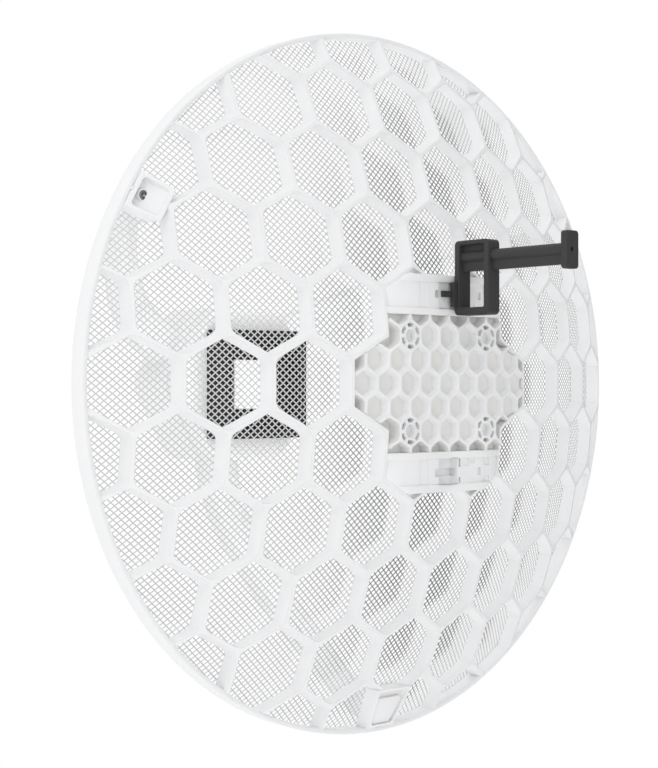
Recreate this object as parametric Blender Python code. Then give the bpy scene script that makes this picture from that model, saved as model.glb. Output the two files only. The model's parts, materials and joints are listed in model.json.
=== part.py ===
"""Wireless bridge dish antenna: a honeycomb-ribbed mesh reflector with its pole mount, feed and sight.

Every size is in millimetres of the dish frame: +Z up, the dish looks along -Y, y = 0 is the rear
edge of the rim and the dish axis is X = Z = 0. One empty carries every piece and puts the row's
origin on the mount plate's rear face, at the wall junction just above the dish axis.
"""

import math

import bmesh
import bpy
from mathutils import Matrix, Vector

MM = 0.001

# Reflector
DISH_RADIUS = 195.5
RIM_WALL = 2.5
RIM_DEPTH = 10.7
DOME_DEPTH = 56.9
SEGMENTS = 96
GAP = 0.35

# Honeycomb of ribs: nine cells across the middle row
CELL = 2 * DISH_RADIUS / 9
SIDE = CELL / math.sqrt(3)
ROW_PITCH = 1.5 * SIDE
RIB_WALL = 2.0
RIB_DEPTH = 9.2
RIB_REACH = DISH_RADIUS - RIM_WALL - 0.6
SECTORS = 6
SECTOR_TURN = 4.0

# Mesh sheet in front of the ribs
SHEET_GAP = 0.7
SHEET_THICKNESS = 0.9
SHEET_RADIUS = DISH_RADIUS - RIM_WALL - 0.6
SHEET_RINGS = 8
SHEET_SPOKES = 48
WINDOW_ACROSS = 36.0
SHEET_EDGE = 6.0

# Mount plate: seven cells of the honeycomb filled with pockets a third of the size
PLATE_REAR = 55.7
PLATE_FRONT = 47.5
PLATE_END_DROP = 4.2
POCKET_PITCH = CELL / 3
POCKET_ROW = ROW_PITCH / 3
POCKET_WALL = 1.7
POCKET_DEPTH = 5.6
POCKET_DRAFT = 0.24
DEEP_POCKET_DEPTH = 6.9
BOSS_RADIUS = 4.5
BOSS_HOLE = 2.2

# Saddles: a channel above and below the plate, with a lug at each side of a trough
CHANNEL_INNER = 36.5
CHANNEL_OUTER = 58.1
INNER_FLANGE = 3.1
OUTER_FLANGE = 4.1
CHANNEL_HALF = CELL - RIB_WALL / 2 - 0.4
CHANNEL_BACK = 45.7
CHANNEL_FLOOR = 48.8
FLANGE_REAR = 55.4
TROUGH_HALF = 7.5
SLOT_LOW = 46.0
SLOT_HIGH = 50.0
SLOT_REACH = 11.5
SLOT_FLOOR = 51.4
SADDLE_REAR = ((28.0, 56.4), (36.0, 53.6), (44.0, 51.8))
LEFT_LUG_REAR = ((43.0, 50.2), (38.0, 51.8), (33.0, 53.1), (26.0, 54.1), (18.0, 54.6), (7.5, 54.4))
RIGHT_LUG_REAR = ((43.0, 50.6), (38.5, 53.2), (27.6, 54.2), (27.6, 51.2), (22.2, 51.2), (22.2, 53.2),
                  (16.0, 53.2), (16.0, 54.8), (7.5, 54.8))

# Arms from three pockets on the rim to the feed
ARM_ANGLES = {"left": 30.0, "right": 150.0, "bottom": 270.0}
POCKET_IN = 177.6
POCKET_OUT = 192.3
POCKET_HALF = 10.2
POCKET_FRONT = -8.5
RECESS_DEPTH = 3.5
SOCKET_IN = 180.2
SOCKET_OUT = 189.9
SOCKET_HALF = 7.4
SOCKET_TOP = -2.2
SCREW_RADIUS = 2.3
SCREW_Y = (-1.6, 3.5)
ARM_PATH = ((184.4, -12.6), (178.0, -24.0), (166.0, -41.0), (150.0, -64.0), (132.0, -88.0),
            (109.0, -114.0), (86.0, -135.0), (64.0, -147.0), (34.0, -152.0))
ARM_FOOT_WIDTH, ARM_ROOT_WIDTH = 14.0, 26.0
ARM_FOOT_DEPTH, ARM_ROOT_DEPTH = 8.5, 20.0

# Feed
FEED_BACK = -116.6
FEED_JOINT = -132.0
FEED_FRONT = -168.0
FEED_FLAT = 47.0
FEED_CORNER = 14.0
FEED_SIDES = 6
FEED_EDGE = 4.0
TRAY_HALF = 33.0
TRAY_WALL = 4.6
TRAY_REAR = -101.0
TRAY_FLOOR = -114.4
PATCH_HALF = 15.0
PATCH_REAR = -112.3

# Sight tool plugged into the upper trough
SIGHT_SIDE = -3.6
SIGHT_WIDTH = 9.1
SIGHT_Y = (55.75, 80.4)
SIGHT_Z = (36.6, 76.6)
SIGHT_WALL = 3.4
SIGHT_SILL = 4.1
SIGHT_HEAD = 2.3
TUBE_Z = 68.0
TUBE_RADIUS = 3.15
WEB_FOOT = 60.2
WEB_WIDTH = 2.6
EYE_X = (-12.9, -3.3)
EYE_Y = (130.2, 134.0)
EYE_Z = (57.8, 77.1)
EYE_HOLE = 1.1
BASE_X = (-3.25, -0.5)
BASE_Y = (55.75, 58.5)
BASE_Z = (41.1, 54.4)
KEY_X = (-0.2, 5.7)
KEY_Y = (54.9, 57.0)

# The empty's place: the origin is on the plate's rear face, at a junction of its pocket walls
AXIS_DROP = POCKET_PITCH / math.sqrt(3)


def clear_scene():
    """Removes what a new Blender scene holds."""
    for obj in list(bpy.data.objects):
        bpy.data.objects.remove(obj, do_unlink=True)


def plastic(name, colour, roughness, metallic=0.0):
    """A Principled material of one colour."""
    mat = bpy.data.materials.new(name)
    mat.use_nodes = True
    shader = mat.node_tree.nodes["Principled BSDF"]
    shader.inputs["Base Color"].default_value = (*colour, 1.0)
    shader.inputs["Roughness"].default_value = roughness
    shader.inputs["Metallic"].default_value = metallic
    return mat


class Maker:
    """Adds finished meshes to the scene under one empty."""

    def __init__(self):
        self.root = bpy.data.objects.new("antenna", None)
        bpy.context.collection.objects.link(self.root)
        self.root.location = (0.0, -PLATE_REAR * MM, -AXIS_DROP * MM)

    def add(self, name, bm, mat, smooth=False):
        """Turns a bmesh in millimetres into one object in metres."""
        bmesh.ops.recalc_face_normals(bm, faces=bm.faces)
        mesh = bpy.data.meshes.new(name)
        bm.to_mesh(mesh)
        bm.free()
        mesh.transform(Matrix.Scale(MM, 4))
        if smooth:
            mesh.shade_smooth()
            mesh.set_sharp_from_angle(angle=math.radians(35))
        obj = bpy.data.objects.new(name, mesh)
        obj.parent = self.root
        if mat is not None:
            mesh.materials.append(mat)
        bpy.context.collection.objects.link(obj)
        return obj

    def cut(self, obj, bm, name, operation="DIFFERENCE"):
        """Cuts an object with a hidden tool shape."""
        tool = self.add(name, bm, None)
        tool.hide_render = True
        tool.display_type = "WIRE"
        modifier = obj.modifiers.new(name, "BOOLEAN")
        modifier.operation = operation
        modifier.object = tool
        return modifier


def dome(radius):
    """y of the ribs' rear edges at this distance from the axis."""
    return DOME_DEPTH * (1 - (radius / DISH_RADIUS) ** 2)


def sheet_rear(radius):
    """y of the mesh sheet's rear face at this distance from the axis."""
    return dome(radius) - RIB_DEPTH - SHEET_GAP


def add_prism(bm, outline, y_front, y_rear):
    """Adds an outline of (x, z) points, extruded along Y."""
    front = [bm.verts.new((x, y_front, z)) for x, z in outline]
    rear = [bm.verts.new((x, y_rear, z)) for x, z in outline]
    bm.faces.new(front)
    bm.faces.new(reversed(rear))
    count = len(outline)
    for i in range(count):
        j = (i + 1) % count
        bm.faces.new((front[j], front[i], rear[i], rear[j]))
    return bm


def prism(outline, y_front, y_rear):
    """A new bmesh with one prism along Y."""
    return add_prism(bmesh.new(), outline, y_front, y_rear)


def upright_prism(outline, z_low, z_high):
    """A new bmesh with an outline of (x, y) points, extruded along Z."""
    bm = prism([(x, y) for x, y in outline], z_low, z_high)
    for vert in bm.verts:
        x, z, y = vert.co
        vert.co = (x, y, z)
    return bm


def add_box(bm, low, high):
    """Adds a box between two corners."""
    size = Vector(high) - Vector(low)
    centre = (Vector(high) + Vector(low)) / 2
    matrix = Matrix.Translation(centre) @ Matrix.Diagonal((*size, 1.0))
    bmesh.ops.create_cube(bm, size=1.0, matrix=matrix)
    return bm


def box(low, high):
    """A new bmesh with one box."""
    return add_box(bmesh.new(), low, high)


def disc_outline(radius, count, centre=(0.0, 0.0)):
    """Points of a circle."""
    turns = [2 * math.pi * i / count for i in range(count)]
    return [(centre[0] + radius * math.cos(t), centre[1] + radius * math.sin(t)) for t in turns]


def hexagon(centre, circumradius):
    """Points of a hexagon that stands on a corner."""
    turns = [math.radians(90 + 60 * i) for i in range(6)]
    return [(centre[0] + circumradius * math.cos(t), centre[1] + circumradius * math.sin(t))
            for t in turns]


def tube(outer, inner, y_front, y_rear, count, centre=(0.0, 0.0)):
    """A ring of rectangular section about a line along Y."""
    bm = bmesh.new()
    loops = []
    for radius, y in ((outer, y_front), (outer, y_rear), (inner, y_rear), (inner, y_front)):
        loops.append([bm.verts.new((x, y, z)) for x, z in disc_outline(radius, count, centre)])
    for k in range(4):
        a, b = loops[k], loops[(k + 1) % 4]
        for i in range(count):
            j = (i + 1) % count
            bm.faces.new((a[i], a[j], b[j], b[i]))
    return bm


class Honeycomb:
    """The cells, junctions and walls of the rib lattice."""

    def __init__(self):
        self.centres = []
        self.corner_cells = {}
        self.wall_cells = {}
        for row in range(-7, 8):
            for col in range(-7, 8):
                centre = Vector(((col + 0.5 * (row % 2)) * CELL, row * ROW_PITCH))
                self.centres.append(centre)
                corners = [self.key(p) for p in hexagon(centre, SIDE)]
                for i, corner in enumerate(corners):
                    self.corner_cells.setdefault(corner, []).append(centre)
                    wall = frozenset((corner, corners[(i + 1) % 6]))
                    self.wall_cells.setdefault(wall, []).append(centre)

    @staticmethod
    def key(point):
        """A corner's place, rounded so that neighbours share it."""
        return (round(point[0], 3), round(point[1], 3))

    @staticmethod
    def in_mount(centre):
        """Whether a cell is one of the seven that the mount fills."""
        return centre.length < 1.1 * CELL

    @staticmethod
    def at_pocket(corner):
        """Whether a corner outside the rim lies on an arm pocket's line."""
        turn = math.degrees(math.atan2(corner[1], corner[0])) % 360
        return any(abs(turn - angle) < 1.0 for angle in ARM_ANGLES.values())

    def junctions(self):
        """Corners inside the rim that carry ribs."""
        kept = []
        for corner, cells in self.corner_cells.items():
            inside = Vector(corner).length < RIB_REACH - 2.0
            filled = all(self.in_mount(c) for c in cells)
            trough = abs(corner[0]) < 1.0 and abs(abs(corner[1]) - 2 * SIDE) < 1.0
            if inside and not filled and not trough:
                kept.append(corner)
        return kept

    def walls(self, junctions):
        """Walls that touch a kept junction, apart from those the mount and the pockets replace."""
        kept = []
        known = set(junctions)
        for wall, cells in self.wall_cells.items():
            ends = sorted(wall)
            if not (ends[0] in known or ends[1] in known):
                continue
            if all(self.in_mount(c) for c in cells):
                continue
            outer = max(ends, key=lambda c: Vector(c).length)
            if outer not in known and Vector(outer).length > RIB_REACH and self.at_pocket(outer):
                continue
            kept.append((ends, cells))
        return kept


def sector_of(corner):
    """Which sixth of the dish a corner is in."""
    turn = math.degrees(math.atan2(corner[1], corner[0])) - SECTOR_TURN
    return int((turn % 360) // (360 / SECTORS))


def wall_corner(corner, cell):
    """Where a cell's inner outline turns, next to a junction."""
    inward = (cell - Vector(corner)).normalized()
    return Vector(corner) + inward * (RIB_WALL / 2 / math.cos(math.radians(30)))


def reach_circle(start, end):
    """The point where the line from start to end meets the ribs' outer limit."""
    step = end - start
    a, b, c = step.dot(step), 2 * start.dot(step), start.dot(start) - RIB_REACH ** 2
    share = (-b + math.sqrt(b * b - 4 * a * c)) / (2 * a)
    return start + step * share


def reach_channel(start, end):
    """The point where the line from start to end meets the saddle's outer face."""
    limit = math.copysign(CHANNEL_OUTER + GAP, start.y)
    share = (limit - start.y) / (end.y - start.y)
    return start + (end - start) * share


def crosses_channel(ends):
    """Whether a wall starts at the junction that the middle of a saddle hides."""
    return any(abs(c[0]) < 1.0 and abs(abs(c[1]) - 2 * SIDE) < 1.0 for c in ends)


def rib_sector(comb, sector):
    """One sixth of the rib lattice, as one closed body."""
    bm = bmesh.new()
    points = {}

    def vert(point, front):
        """The shared vertex at a place, on the ribs' front or rear edge."""
        place = (round(point.x, 3), round(point.y, 3), front)
        if place not in points:
            y = dome(point.length) - (RIB_DEPTH if front else 0.0)
            points[place] = bm.verts.new((point.x, y, point.y))
        return points[place]

    junctions = comb.junctions()
    known = set(junctions)
    open_sides = {}
    for corner in junctions:
        if sector_of(corner) != sector:
            continue
        turns = sorted((wall_corner(corner, c) for c in comb.corner_cells[corner]),
                       key=lambda p: math.atan2(p.y - corner[1], p.x - corner[0]))
        bm.faces.new([vert(p, True) for p in turns])
        bm.faces.new([vert(p, False) for p in reversed(turns)])
        for i in range(3):
            side = (turns[i], turns[(i + 1) % 3])
            open_sides[(corner, frozenset(Honeycomb.key(p) for p in side))] = side
    for ends, cells in comb.walls(junctions):
        home = min((c for c in ends if c in known), key=lambda c: Vector(c).length)
        if sector_of(home) != sector:
            continue
        away = ends[0] if ends[1] == home else ends[1]
        near = [wall_corner(home, c) for c in cells]
        far = [wall_corner(away, c) for c in cells]
        joined = away in known and sector_of(away) == sector
        if crosses_channel(ends):
            far = [reach_channel(b, a) for a, b in zip(near, far)]
        elif away not in known and Vector(away).length > RIB_REACH - 2.0:
            far = [reach_circle(a, b) for a, b in zip(near, far)]
        elif not joined:
            back = (near[0] - far[0]).normalized() * GAP
            far = [p + back for p in far]
        loop = (near[0], far[0], far[1], near[1])
        bm.faces.new([vert(p, True) for p in loop])
        bm.faces.new([vert(p, False) for p in reversed(loop)])
        for a, b in ((near[0], far[0]), (near[1], far[1])):
            bm.faces.new((vert(a, True), vert(b, True), vert(b, False), vert(a, False)))
        open_sides.pop((home, frozenset(Honeycomb.key(p) for p in near)))
        if joined:
            open_sides.pop((away, frozenset(Honeycomb.key(p) for p in far)))
        else:
            bm.faces.new([vert(far[0], True), vert(far[1], True),
                          vert(far[1], False), vert(far[0], False)])
    for a, b in open_sides.values():
        bm.faces.new((vert(a, True), vert(b, True), vert(b, False), vert(a, False)))
    return bm


def reflector_sheet():
    """The mesh sheet as a thin dished disc."""
    bm = bmesh.new()
    sides = []
    for offset in (0.0, -SHEET_THICKNESS):
        rings = []
        for ring in range(1, SHEET_RINGS + 1):
            radius = SHEET_RADIUS * ring / SHEET_RINGS
            y = sheet_rear(radius) + offset
            rings.append([bm.verts.new((x, y, z)) for x, z in disc_outline(radius, SHEET_SPOKES)])
        centre = bm.verts.new((0.0, sheet_rear(0.0) + offset, 0.0))
        for i in range(SHEET_SPOKES):
            j = (i + 1) % SHEET_SPOKES
            bm.faces.new((centre, rings[0][i], rings[0][j]))
            for inner, outer in zip(rings, rings[1:]):
                bm.faces.new((inner[i], outer[i], outer[j], inner[j]))
        sides.append(rings[-1])
    for i in range(SHEET_SPOKES):
        j = (i + 1) % SHEET_SPOKES
        bm.faces.new((sides[0][i], sides[0][j], sides[1][j], sides[1][i]))
    return bm


def radial_prism(angle, outline, half):
    """An outline of (radius, y) points, extruded to both sides of a radius of the dish."""
    bm = upright_prism(outline, -half, half)
    bmesh.ops.rotate(bm, verts=bm.verts, matrix=Matrix.Rotation(math.radians(-angle), 3, "Y"))
    return bm


def radial_box(angle, r_in, r_out, half, y_front, y_rear):
    """A box that stands on a radius of the dish."""
    return radial_prism(angle, [(r_in, y_front), (r_out, y_front), (r_out, y_rear), (r_in, y_rear)], half)


def make_sheet(maker, comb, mat):
    """The mesh sheet with a window in front of each cell, short of its edge and of the arm pockets."""
    low, high = -RIM_DEPTH, DOME_DEPTH
    sheet = maker.add("reflector_mesh", reflector_sheet(), mat, smooth=True)
    windows = bmesh.new()
    for centre in comb.centres:
        if centre.length < SHEET_RADIUS:
            add_prism(windows, hexagon(centre, WINDOW_ACROSS / math.sqrt(3)), low, high)
    tool = maker.cut(sheet, windows, "sheet_windows").object
    limit = prism(disc_outline(SHEET_RADIUS - SHEET_EDGE, SHEET_SPOKES), low - 1, high + 1)
    maker.cut(tool, limit, "window_limit", "INTERSECT")
    for name, angle in ARM_ANGLES.items():
        for target, margin in ((tool, SHEET_EDGE), (sheet, GAP)):
            room = radial_box(angle, POCKET_IN - margin, DISH_RADIUS, POCKET_HALF + margin, low - 2, high + 2)
            maker.cut(target, room, f"{target.name}_room_{name}")


def plate_outline():
    """The mount plate's outline, inside the ribs round the seven cells."""
    inset = RIB_WALL / 2 + GAP
    lean = inset * math.tan(math.radians(30))
    end = 1.5 * CELL - inset
    shoulder = CELL - inset
    top = CHANNEL_INNER - GAP
    right = [(shoulder, -top), (shoulder, lean - SIDE), (end, lean - SIDE / 2),
             (end, SIDE / 2 - lean), (shoulder, SIDE - lean), (shoulder, top)]
    return right + [(-x, z) for x, z in reversed(right)]


def pocket_centres():
    """Small cells of the plate as (x, z, kind)."""
    centres = []
    for col in range(-4, 5):
        centres.append((col * POCKET_PITCH, 0.0, "shallow"))
    for side in (-1, 1):
        for col in range(-4, 4):
            centres.append(((col + 0.5) * POCKET_PITCH, side * POCKET_ROW, "shallow"))
        for col in range(-1, 2):
            centres.append((col * POCKET_PITCH, side * 2 * POCKET_ROW, "shallow"))
        for col in (-2, 2):
            centres.append((col * POCKET_PITCH, side * 2 * POCKET_ROW, "boss"))
        for col in range(-3, 3):
            centres.append(((col + 0.5) * POCKET_PITCH, side * 3 * POCKET_ROW, "deep"))
        for hand in (-1, 1):
            centres.append((hand * 4.5 * POCKET_PITCH, side * POCKET_ROW, "deep"))
            centres.append((hand * 3 * POCKET_PITCH, side * 2 * POCKET_ROW, "deep"))
    return centres


def make_mount_plate(maker, mat):
    """The plate between the saddles, with its pockets and four screw bosses."""
    bm = prism(plate_outline(), PLATE_FRONT - PLATE_END_DROP, PLATE_REAR + 1.0)
    plate = maker.add("mount_plate", bm, mat)
    half = 1.5 * CELL
    knee = 2.5 * POCKET_PITCH
    drop = PLATE_END_DROP
    profile = [(-half, PLATE_FRONT - drop), (-knee, PLATE_FRONT), (knee, PLATE_FRONT),
               (half, PLATE_FRONT - drop), (half, PLATE_REAR - drop), (knee, PLATE_REAR),
               (-knee, PLATE_REAR), (-half, PLATE_REAR - drop)]
    maker.cut(plate, upright_prism(profile, -CHANNEL_INNER, CHANNEL_INNER), "plate_limits", "INTERSECT")
    size = POCKET_PITCH / math.sqrt(3) - POCKET_WALL / 2 / math.cos(math.radians(30))
    pockets = bmesh.new()
    for x, z, kind in pocket_centres():
        slope = max(0.0, abs(x) - knee) / (half - knee) * drop
        depth = POCKET_DEPTH if kind == "shallow" else DEEP_POCKET_DEPTH
        draft = POCKET_DRAFT if kind == "shallow" else 0.0
        over = 1.0
        sections = [(size - draft * depth, PLATE_REAR - slope - depth),
                    (size + draft * (slope + over), PLATE_REAR + over)]
        add_loft(pockets, [[(px, y, pz) for px, pz in hexagon((x, z), reach)] for reach, y in sections])
    maker.cut(plate, pockets, "plate_pockets")
    for n, (sx, sz) in enumerate(((1, 1), (-1, 1), (1, -1), (-1, -1)), 1):
        centre = (sx * 2 * POCKET_PITCH, sz * 2 * POCKET_ROW)
        front = PLATE_REAR - DEEP_POCKET_DEPTH + GAP
        bm = tube(BOSS_RADIUS, BOSS_HOLE, front, PLATE_REAR, 24, centre)
        maker.add(f"screw_boss_{n}", bm, mat, smooth=True)


def saddle_outline(side, inset):
    """The saddle's (x, z) outline, inside the ribs that slope over its corners."""
    edge = CELL - RIB_WALL / 2 - inset
    corner = 2 * SIDE - (RIB_WALL / 2 + inset) * math.tan(math.radians(30))
    reach = edge - (CHANNEL_OUTER - corner) * math.tan(math.radians(60))
    right = [(edge, CHANNEL_INNER), (edge, corner), (reach, CHANNEL_OUTER)]
    outline = right + [(-x, z) for x, z in reversed(right)]
    return [(x, side * z) for x, z in outline]


def flip(outline, side):
    """An outline of (x, y) points on the left, or mirrored to the right."""
    return [(side * x, y) for x, y in outline]


def make_saddle(maker, name, side, mat):
    """A channel with two flanges and a lug at each side of its trough."""
    def z_range(low, high):
        """Heights above the axis, mirrored for the lower saddle."""
        return (low, high) if side > 0 else (-high, -low)

    half = CHANNEL_HALF
    profile = [(CHANNEL_BACK, CHANNEL_INNER), (FLANGE_REAR, CHANNEL_INNER),
               (FLANGE_REAR, CHANNEL_INNER + INNER_FLANGE), (CHANNEL_FLOOR, CHANNEL_INNER + INNER_FLANGE),
               (CHANNEL_FLOOR, CHANNEL_OUTER - OUTER_FLANGE), (FLANGE_REAR, CHANNEL_OUTER - OUTER_FLANGE),
               (FLANGE_REAR, CHANNEL_OUTER), (CHANNEL_BACK, CHANNEL_OUTER)]
    bm = bmesh.new()
    ends = [[bm.verts.new((x, y, side * z)) for y, z in profile] for x in (-half, half)]
    bm.faces.new(ends[0])
    bm.faces.new(reversed(ends[1]))
    for i in range(len(profile)):
        j = (i + 1) % len(profile)
        bm.faces.new((ends[0][j], ends[0][i], ends[1][i], ends[1][j]))
    channel = maker.add(f"{name}_channel", bm, mat)
    rear = [(SADDLE_REAR[-1][0], CHANNEL_BACK - 1), *reversed(SADDLE_REAR)]
    shape = rear + flip(reversed(rear), -1)
    maker.cut(channel, upright_prism(shape, *z_range(CHANNEL_INNER - 1, CHANNEL_OUTER + 1)),
              f"{name}_shape", "INTERSECT")
    maker.cut(channel, prism(saddle_outline(side, GAP), CHANNEL_BACK - 1, FLANGE_REAR + 1),
              f"{name}_ends", "INTERSECT")
    base = CHANNEL_FLOOR + GAP
    lug_z = z_range(CHANNEL_INNER + INNER_FLANGE + GAP, CHANNEL_OUTER - OUTER_FLANGE - GAP)
    slot = z_range(SLOT_LOW, SLOT_HIGH)
    for hand, back, turn in (("left", LEFT_LUG_REAR, 1), ("right", RIGHT_LUG_REAR, -1)):
        outline = [(TROUGH_HALF, base), (back[0][0], base), *back]
        lug = maker.add(f"{name}_{hand}_lug", upright_prism(flip(outline, turn), *lug_z), mat)
        reach = sorted((turn * (TROUGH_HALF - 1), turn * SLOT_REACH))
        cutter = box((reach[0], SLOT_FLOOR, slot[0]), (reach[1], FLANGE_REAR + 1, slot[1]))
        maker.cut(lug, cutter, f"{name}_{hand}_slot")
        maker.cut(lug, prism(saddle_outline(side, GAP + 0.8), CHANNEL_BACK - 1, FLANGE_REAR + 1),
                  f"{name}_{hand}_end", "INTERSECT")


def add_loft(bm, sections):
    """Adds a closed body through a list of point loops of equal length."""
    loops = [[bm.verts.new(p) for p in section] for section in sections]
    count = len(loops[0])
    bm.faces.new(loops[0])
    bm.faces.new(reversed(loops[-1]))
    for a, b in zip(loops, loops[1:]):
        for i in range(count):
            j = (i + 1) % count
            bm.faces.new((a[j], a[i], b[i], b[j]))
    return bm


def loft(sections):
    """A new bmesh with one lofted body."""
    return add_loft(bmesh.new(), sections)


def arm_sections():
    """Cross-sections of an arm on the +X radius, from its foot to the feed."""
    foot = [(SOCKET_OUT + SOCKET_IN) / 2, SOCKET_TOP - GAP]
    path = [Vector(foot), Vector((foot[0], POCKET_FRONT)), *(Vector(p) for p in ARM_PATH)]
    sections = []
    for i, point in enumerate(path):
        before, after = path[max(i - 1, 0)], path[min(i + 1, len(path) - 1)]
        along = (after - before).normalized()
        across = Vector((-along.y, along.x))
        share = max(0, i - 1) / (len(path) - 2)
        width = ARM_FOOT_WIDTH + (ARM_ROOT_WIDTH - ARM_FOOT_WIDTH) * share
        depth = ARM_FOOT_DEPTH + (ARM_ROOT_DEPTH - ARM_FOOT_DEPTH) * share
        if i < 2:
            across = Vector((1.0, 0.0))
        chamfer = 0.22 * depth
        a, b = width / 2, depth / 2
        corners = ((a, b - chamfer), (a - chamfer, b), (chamfer - a, b), (-a, b - chamfer),
                   (-a, chamfer - b), (chamfer - a, -b), (a - chamfer, -b), (a, chamfer - b))
        sections.append([(point.x + v * across.x, point.y + v * across.y, u) for u, v in corners])
    return sections


def feed_outline(grow=0.0, steps=4):
    """Outline of the feed: a hexagon with round corners, a flat of it facing each arm."""
    corner = FEED_CORNER + grow
    half_turn = math.pi / FEED_SIDES
    reach = (FEED_FLAT - FEED_CORNER) / math.cos(half_turn)
    outline = []
    for side in range(FEED_SIDES):
        middle = 2 * half_turn * side
        for step in range(steps + 1):
            turn = middle + half_turn * (2 * step / steps - 1)
            outline.append((reach * math.cos(middle) + corner * math.cos(turn),
                            reach * math.sin(middle) + corner * math.sin(turn)))
    return outline


def feed_shell(sections):
    """A body through feed outlines, each given as its growth and its y."""
    return loft([[(x, y, z) for x, z in feed_outline(grow)] for grow, y in sections])


def make_arms(maker, white, steel):
    """Three pockets on the rim with their screws, and the arms that stand in them."""
    above = dome(POCKET_IN) + 1
    for name, angle in ARM_ANGLES.items():
        profile = [(POCKET_IN, POCKET_FRONT), (POCKET_OUT, POCKET_FRONT),
                   (POCKET_OUT, dome(POCKET_OUT)), (POCKET_IN, dome(POCKET_IN))]
        pocket = maker.add(f"arm_pocket_{name}", radial_prism(angle, profile, POCKET_HALF), white)
        through = name == "bottom"
        rear = above if through else SOCKET_TOP
        socket = radial_box(angle, SOCKET_IN, SOCKET_OUT, SOCKET_HALF, POCKET_FRONT - 1, rear)
        maker.cut(pocket, socket, f"socket_{name}")
        turn = math.radians(angle)
        if not through:
            floor = [(r, dome(r) - RECESS_DEPTH) for r in (SOCKET_IN, SOCKET_OUT)]
            recess = [*floor, (SOCKET_OUT, above), (SOCKET_IN, above)]
            maker.cut(pocket, radial_prism(angle, recess, SOCKET_HALF), f"recess_{name}")
            centre_r = (SOCKET_IN + SOCKET_OUT) / 2
            centre = (centre_r * math.cos(turn), centre_r * math.sin(turn))
            hole = prism(disc_outline(SCREW_RADIUS + GAP, 16, centre), SOCKET_TOP - 1, above)
            maker.cut(pocket, hole, f"screw_hole_{name}")
            head = prism(disc_outline(SCREW_RADIUS, 16, centre), *SCREW_Y)
            maker.add(f"arm_screw_{name}", head, steel, smooth=True)
        bm = loft(arm_sections())
        bmesh.ops.rotate(bm, verts=bm.verts, matrix=Matrix.Rotation(-turn, 3, "Y"))
        arm = maker.add(f"feed_arm_{name}", bm, white)
        grown = prism(feed_outline(GAP), FEED_FRONT - 5, FEED_BACK + 5)
        maker.cut(arm, grown, f"arm_end_{name}")


def make_feed(maker, white, black):
    """The feed's housing, and the black tray with its patch on the side that faces the dish."""
    front = ((-FEED_EDGE, FEED_FRONT), (0.0, FEED_FRONT + FEED_EDGE), (0.0, FEED_JOINT - GAP))
    maker.add("feed_housing_front", feed_shell(front), white, smooth=True)
    edge = FEED_EDGE / 2
    rear = ((0.0, FEED_JOINT), (0.0, FEED_BACK - edge), (-edge, FEED_BACK))
    maker.add("feed_housing_rear", feed_shell(rear), white, smooth=True)
    half = TRAY_HALF
    tray = maker.add("feed_tray", box((-half, FEED_BACK + GAP, -half), (half, TRAY_REAR, half)), black)
    hollow = TRAY_HALF - TRAY_WALL
    maker.cut(tray, box((-hollow, TRAY_FLOOR, -hollow), (hollow, TRAY_REAR + 1, hollow)), "feed_hollow")
    half = PATCH_HALF
    maker.add("feed_patch", box((-half, TRAY_FLOOR + GAP, -half), (half, PATCH_REAR, half)), white)


def keyhole(y_front, y_rear):
    """The sight bar: a round tube on a flat web."""
    centre_x = SIGHT_SIDE - SIGHT_WIDTH / 2
    lean = math.asin(WEB_WIDTH / 2 / TUBE_RADIUS)
    start, steps = -math.pi / 2 + lean, 14
    sweep = 2 * (math.pi - lean)
    outline = []
    for i in range(steps + 1):
        turn = start + sweep * i / steps
        outline.append((centre_x + TUBE_RADIUS * math.cos(turn), TUBE_Z + TUBE_RADIUS * math.sin(turn)))
    outline.append((centre_x - WEB_WIDTH / 2, WEB_FOOT))
    outline.append((centre_x + WEB_WIDTH / 2, WEB_FOOT))
    return prism(outline, y_front, y_rear)


def make_sight(maker, mat):
    """The alignment sight: an upright frame, a bar and an eye plate, with a key in the upper slot."""
    side, far = SIGHT_SIDE, SIGHT_SIDE - SIGHT_WIDTH
    frame = maker.add("sight_frame", box(*zip((far, side), SIGHT_Y, SIGHT_Z)), mat)
    window_y = (SIGHT_Y[0] + SIGHT_WALL, SIGHT_Y[1] - SIGHT_WALL)
    window_z = (SIGHT_Z[0] + SIGHT_SILL, SIGHT_Z[1] - SIGHT_HEAD)
    maker.cut(frame, box((far - 1, window_y[0], window_z[0]), (side + 1, window_y[1], window_z[1])),
              "sight_window")
    inner = keyhole(window_y[0] + GAP, window_y[1] - GAP)
    maker.add("sight_bar_front", inner, mat, smooth=True)
    maker.add("sight_bar", keyhole(SIGHT_Y[1] + GAP, EYE_Y[0] - GAP), mat, smooth=True)
    eye = maker.add("eye_plate", box(*zip(EYE_X, EYE_Y, EYE_Z)), mat)
    hole = prism(disc_outline(EYE_HOLE, 12, ((far + side) / 2, TUBE_Z - 0.3)), EYE_Y[0] - 1, EYE_Y[1] + 1)
    maker.cut(eye, hole, "eye_hole")
    maker.add("sight_base", box(*zip(BASE_X, BASE_Y, BASE_Z)), mat)
    maker.add("sight_key", box(*zip(KEY_X, KEY_Y, (SLOT_LOW + GAP, SLOT_HIGH - GAP))), mat)


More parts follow.
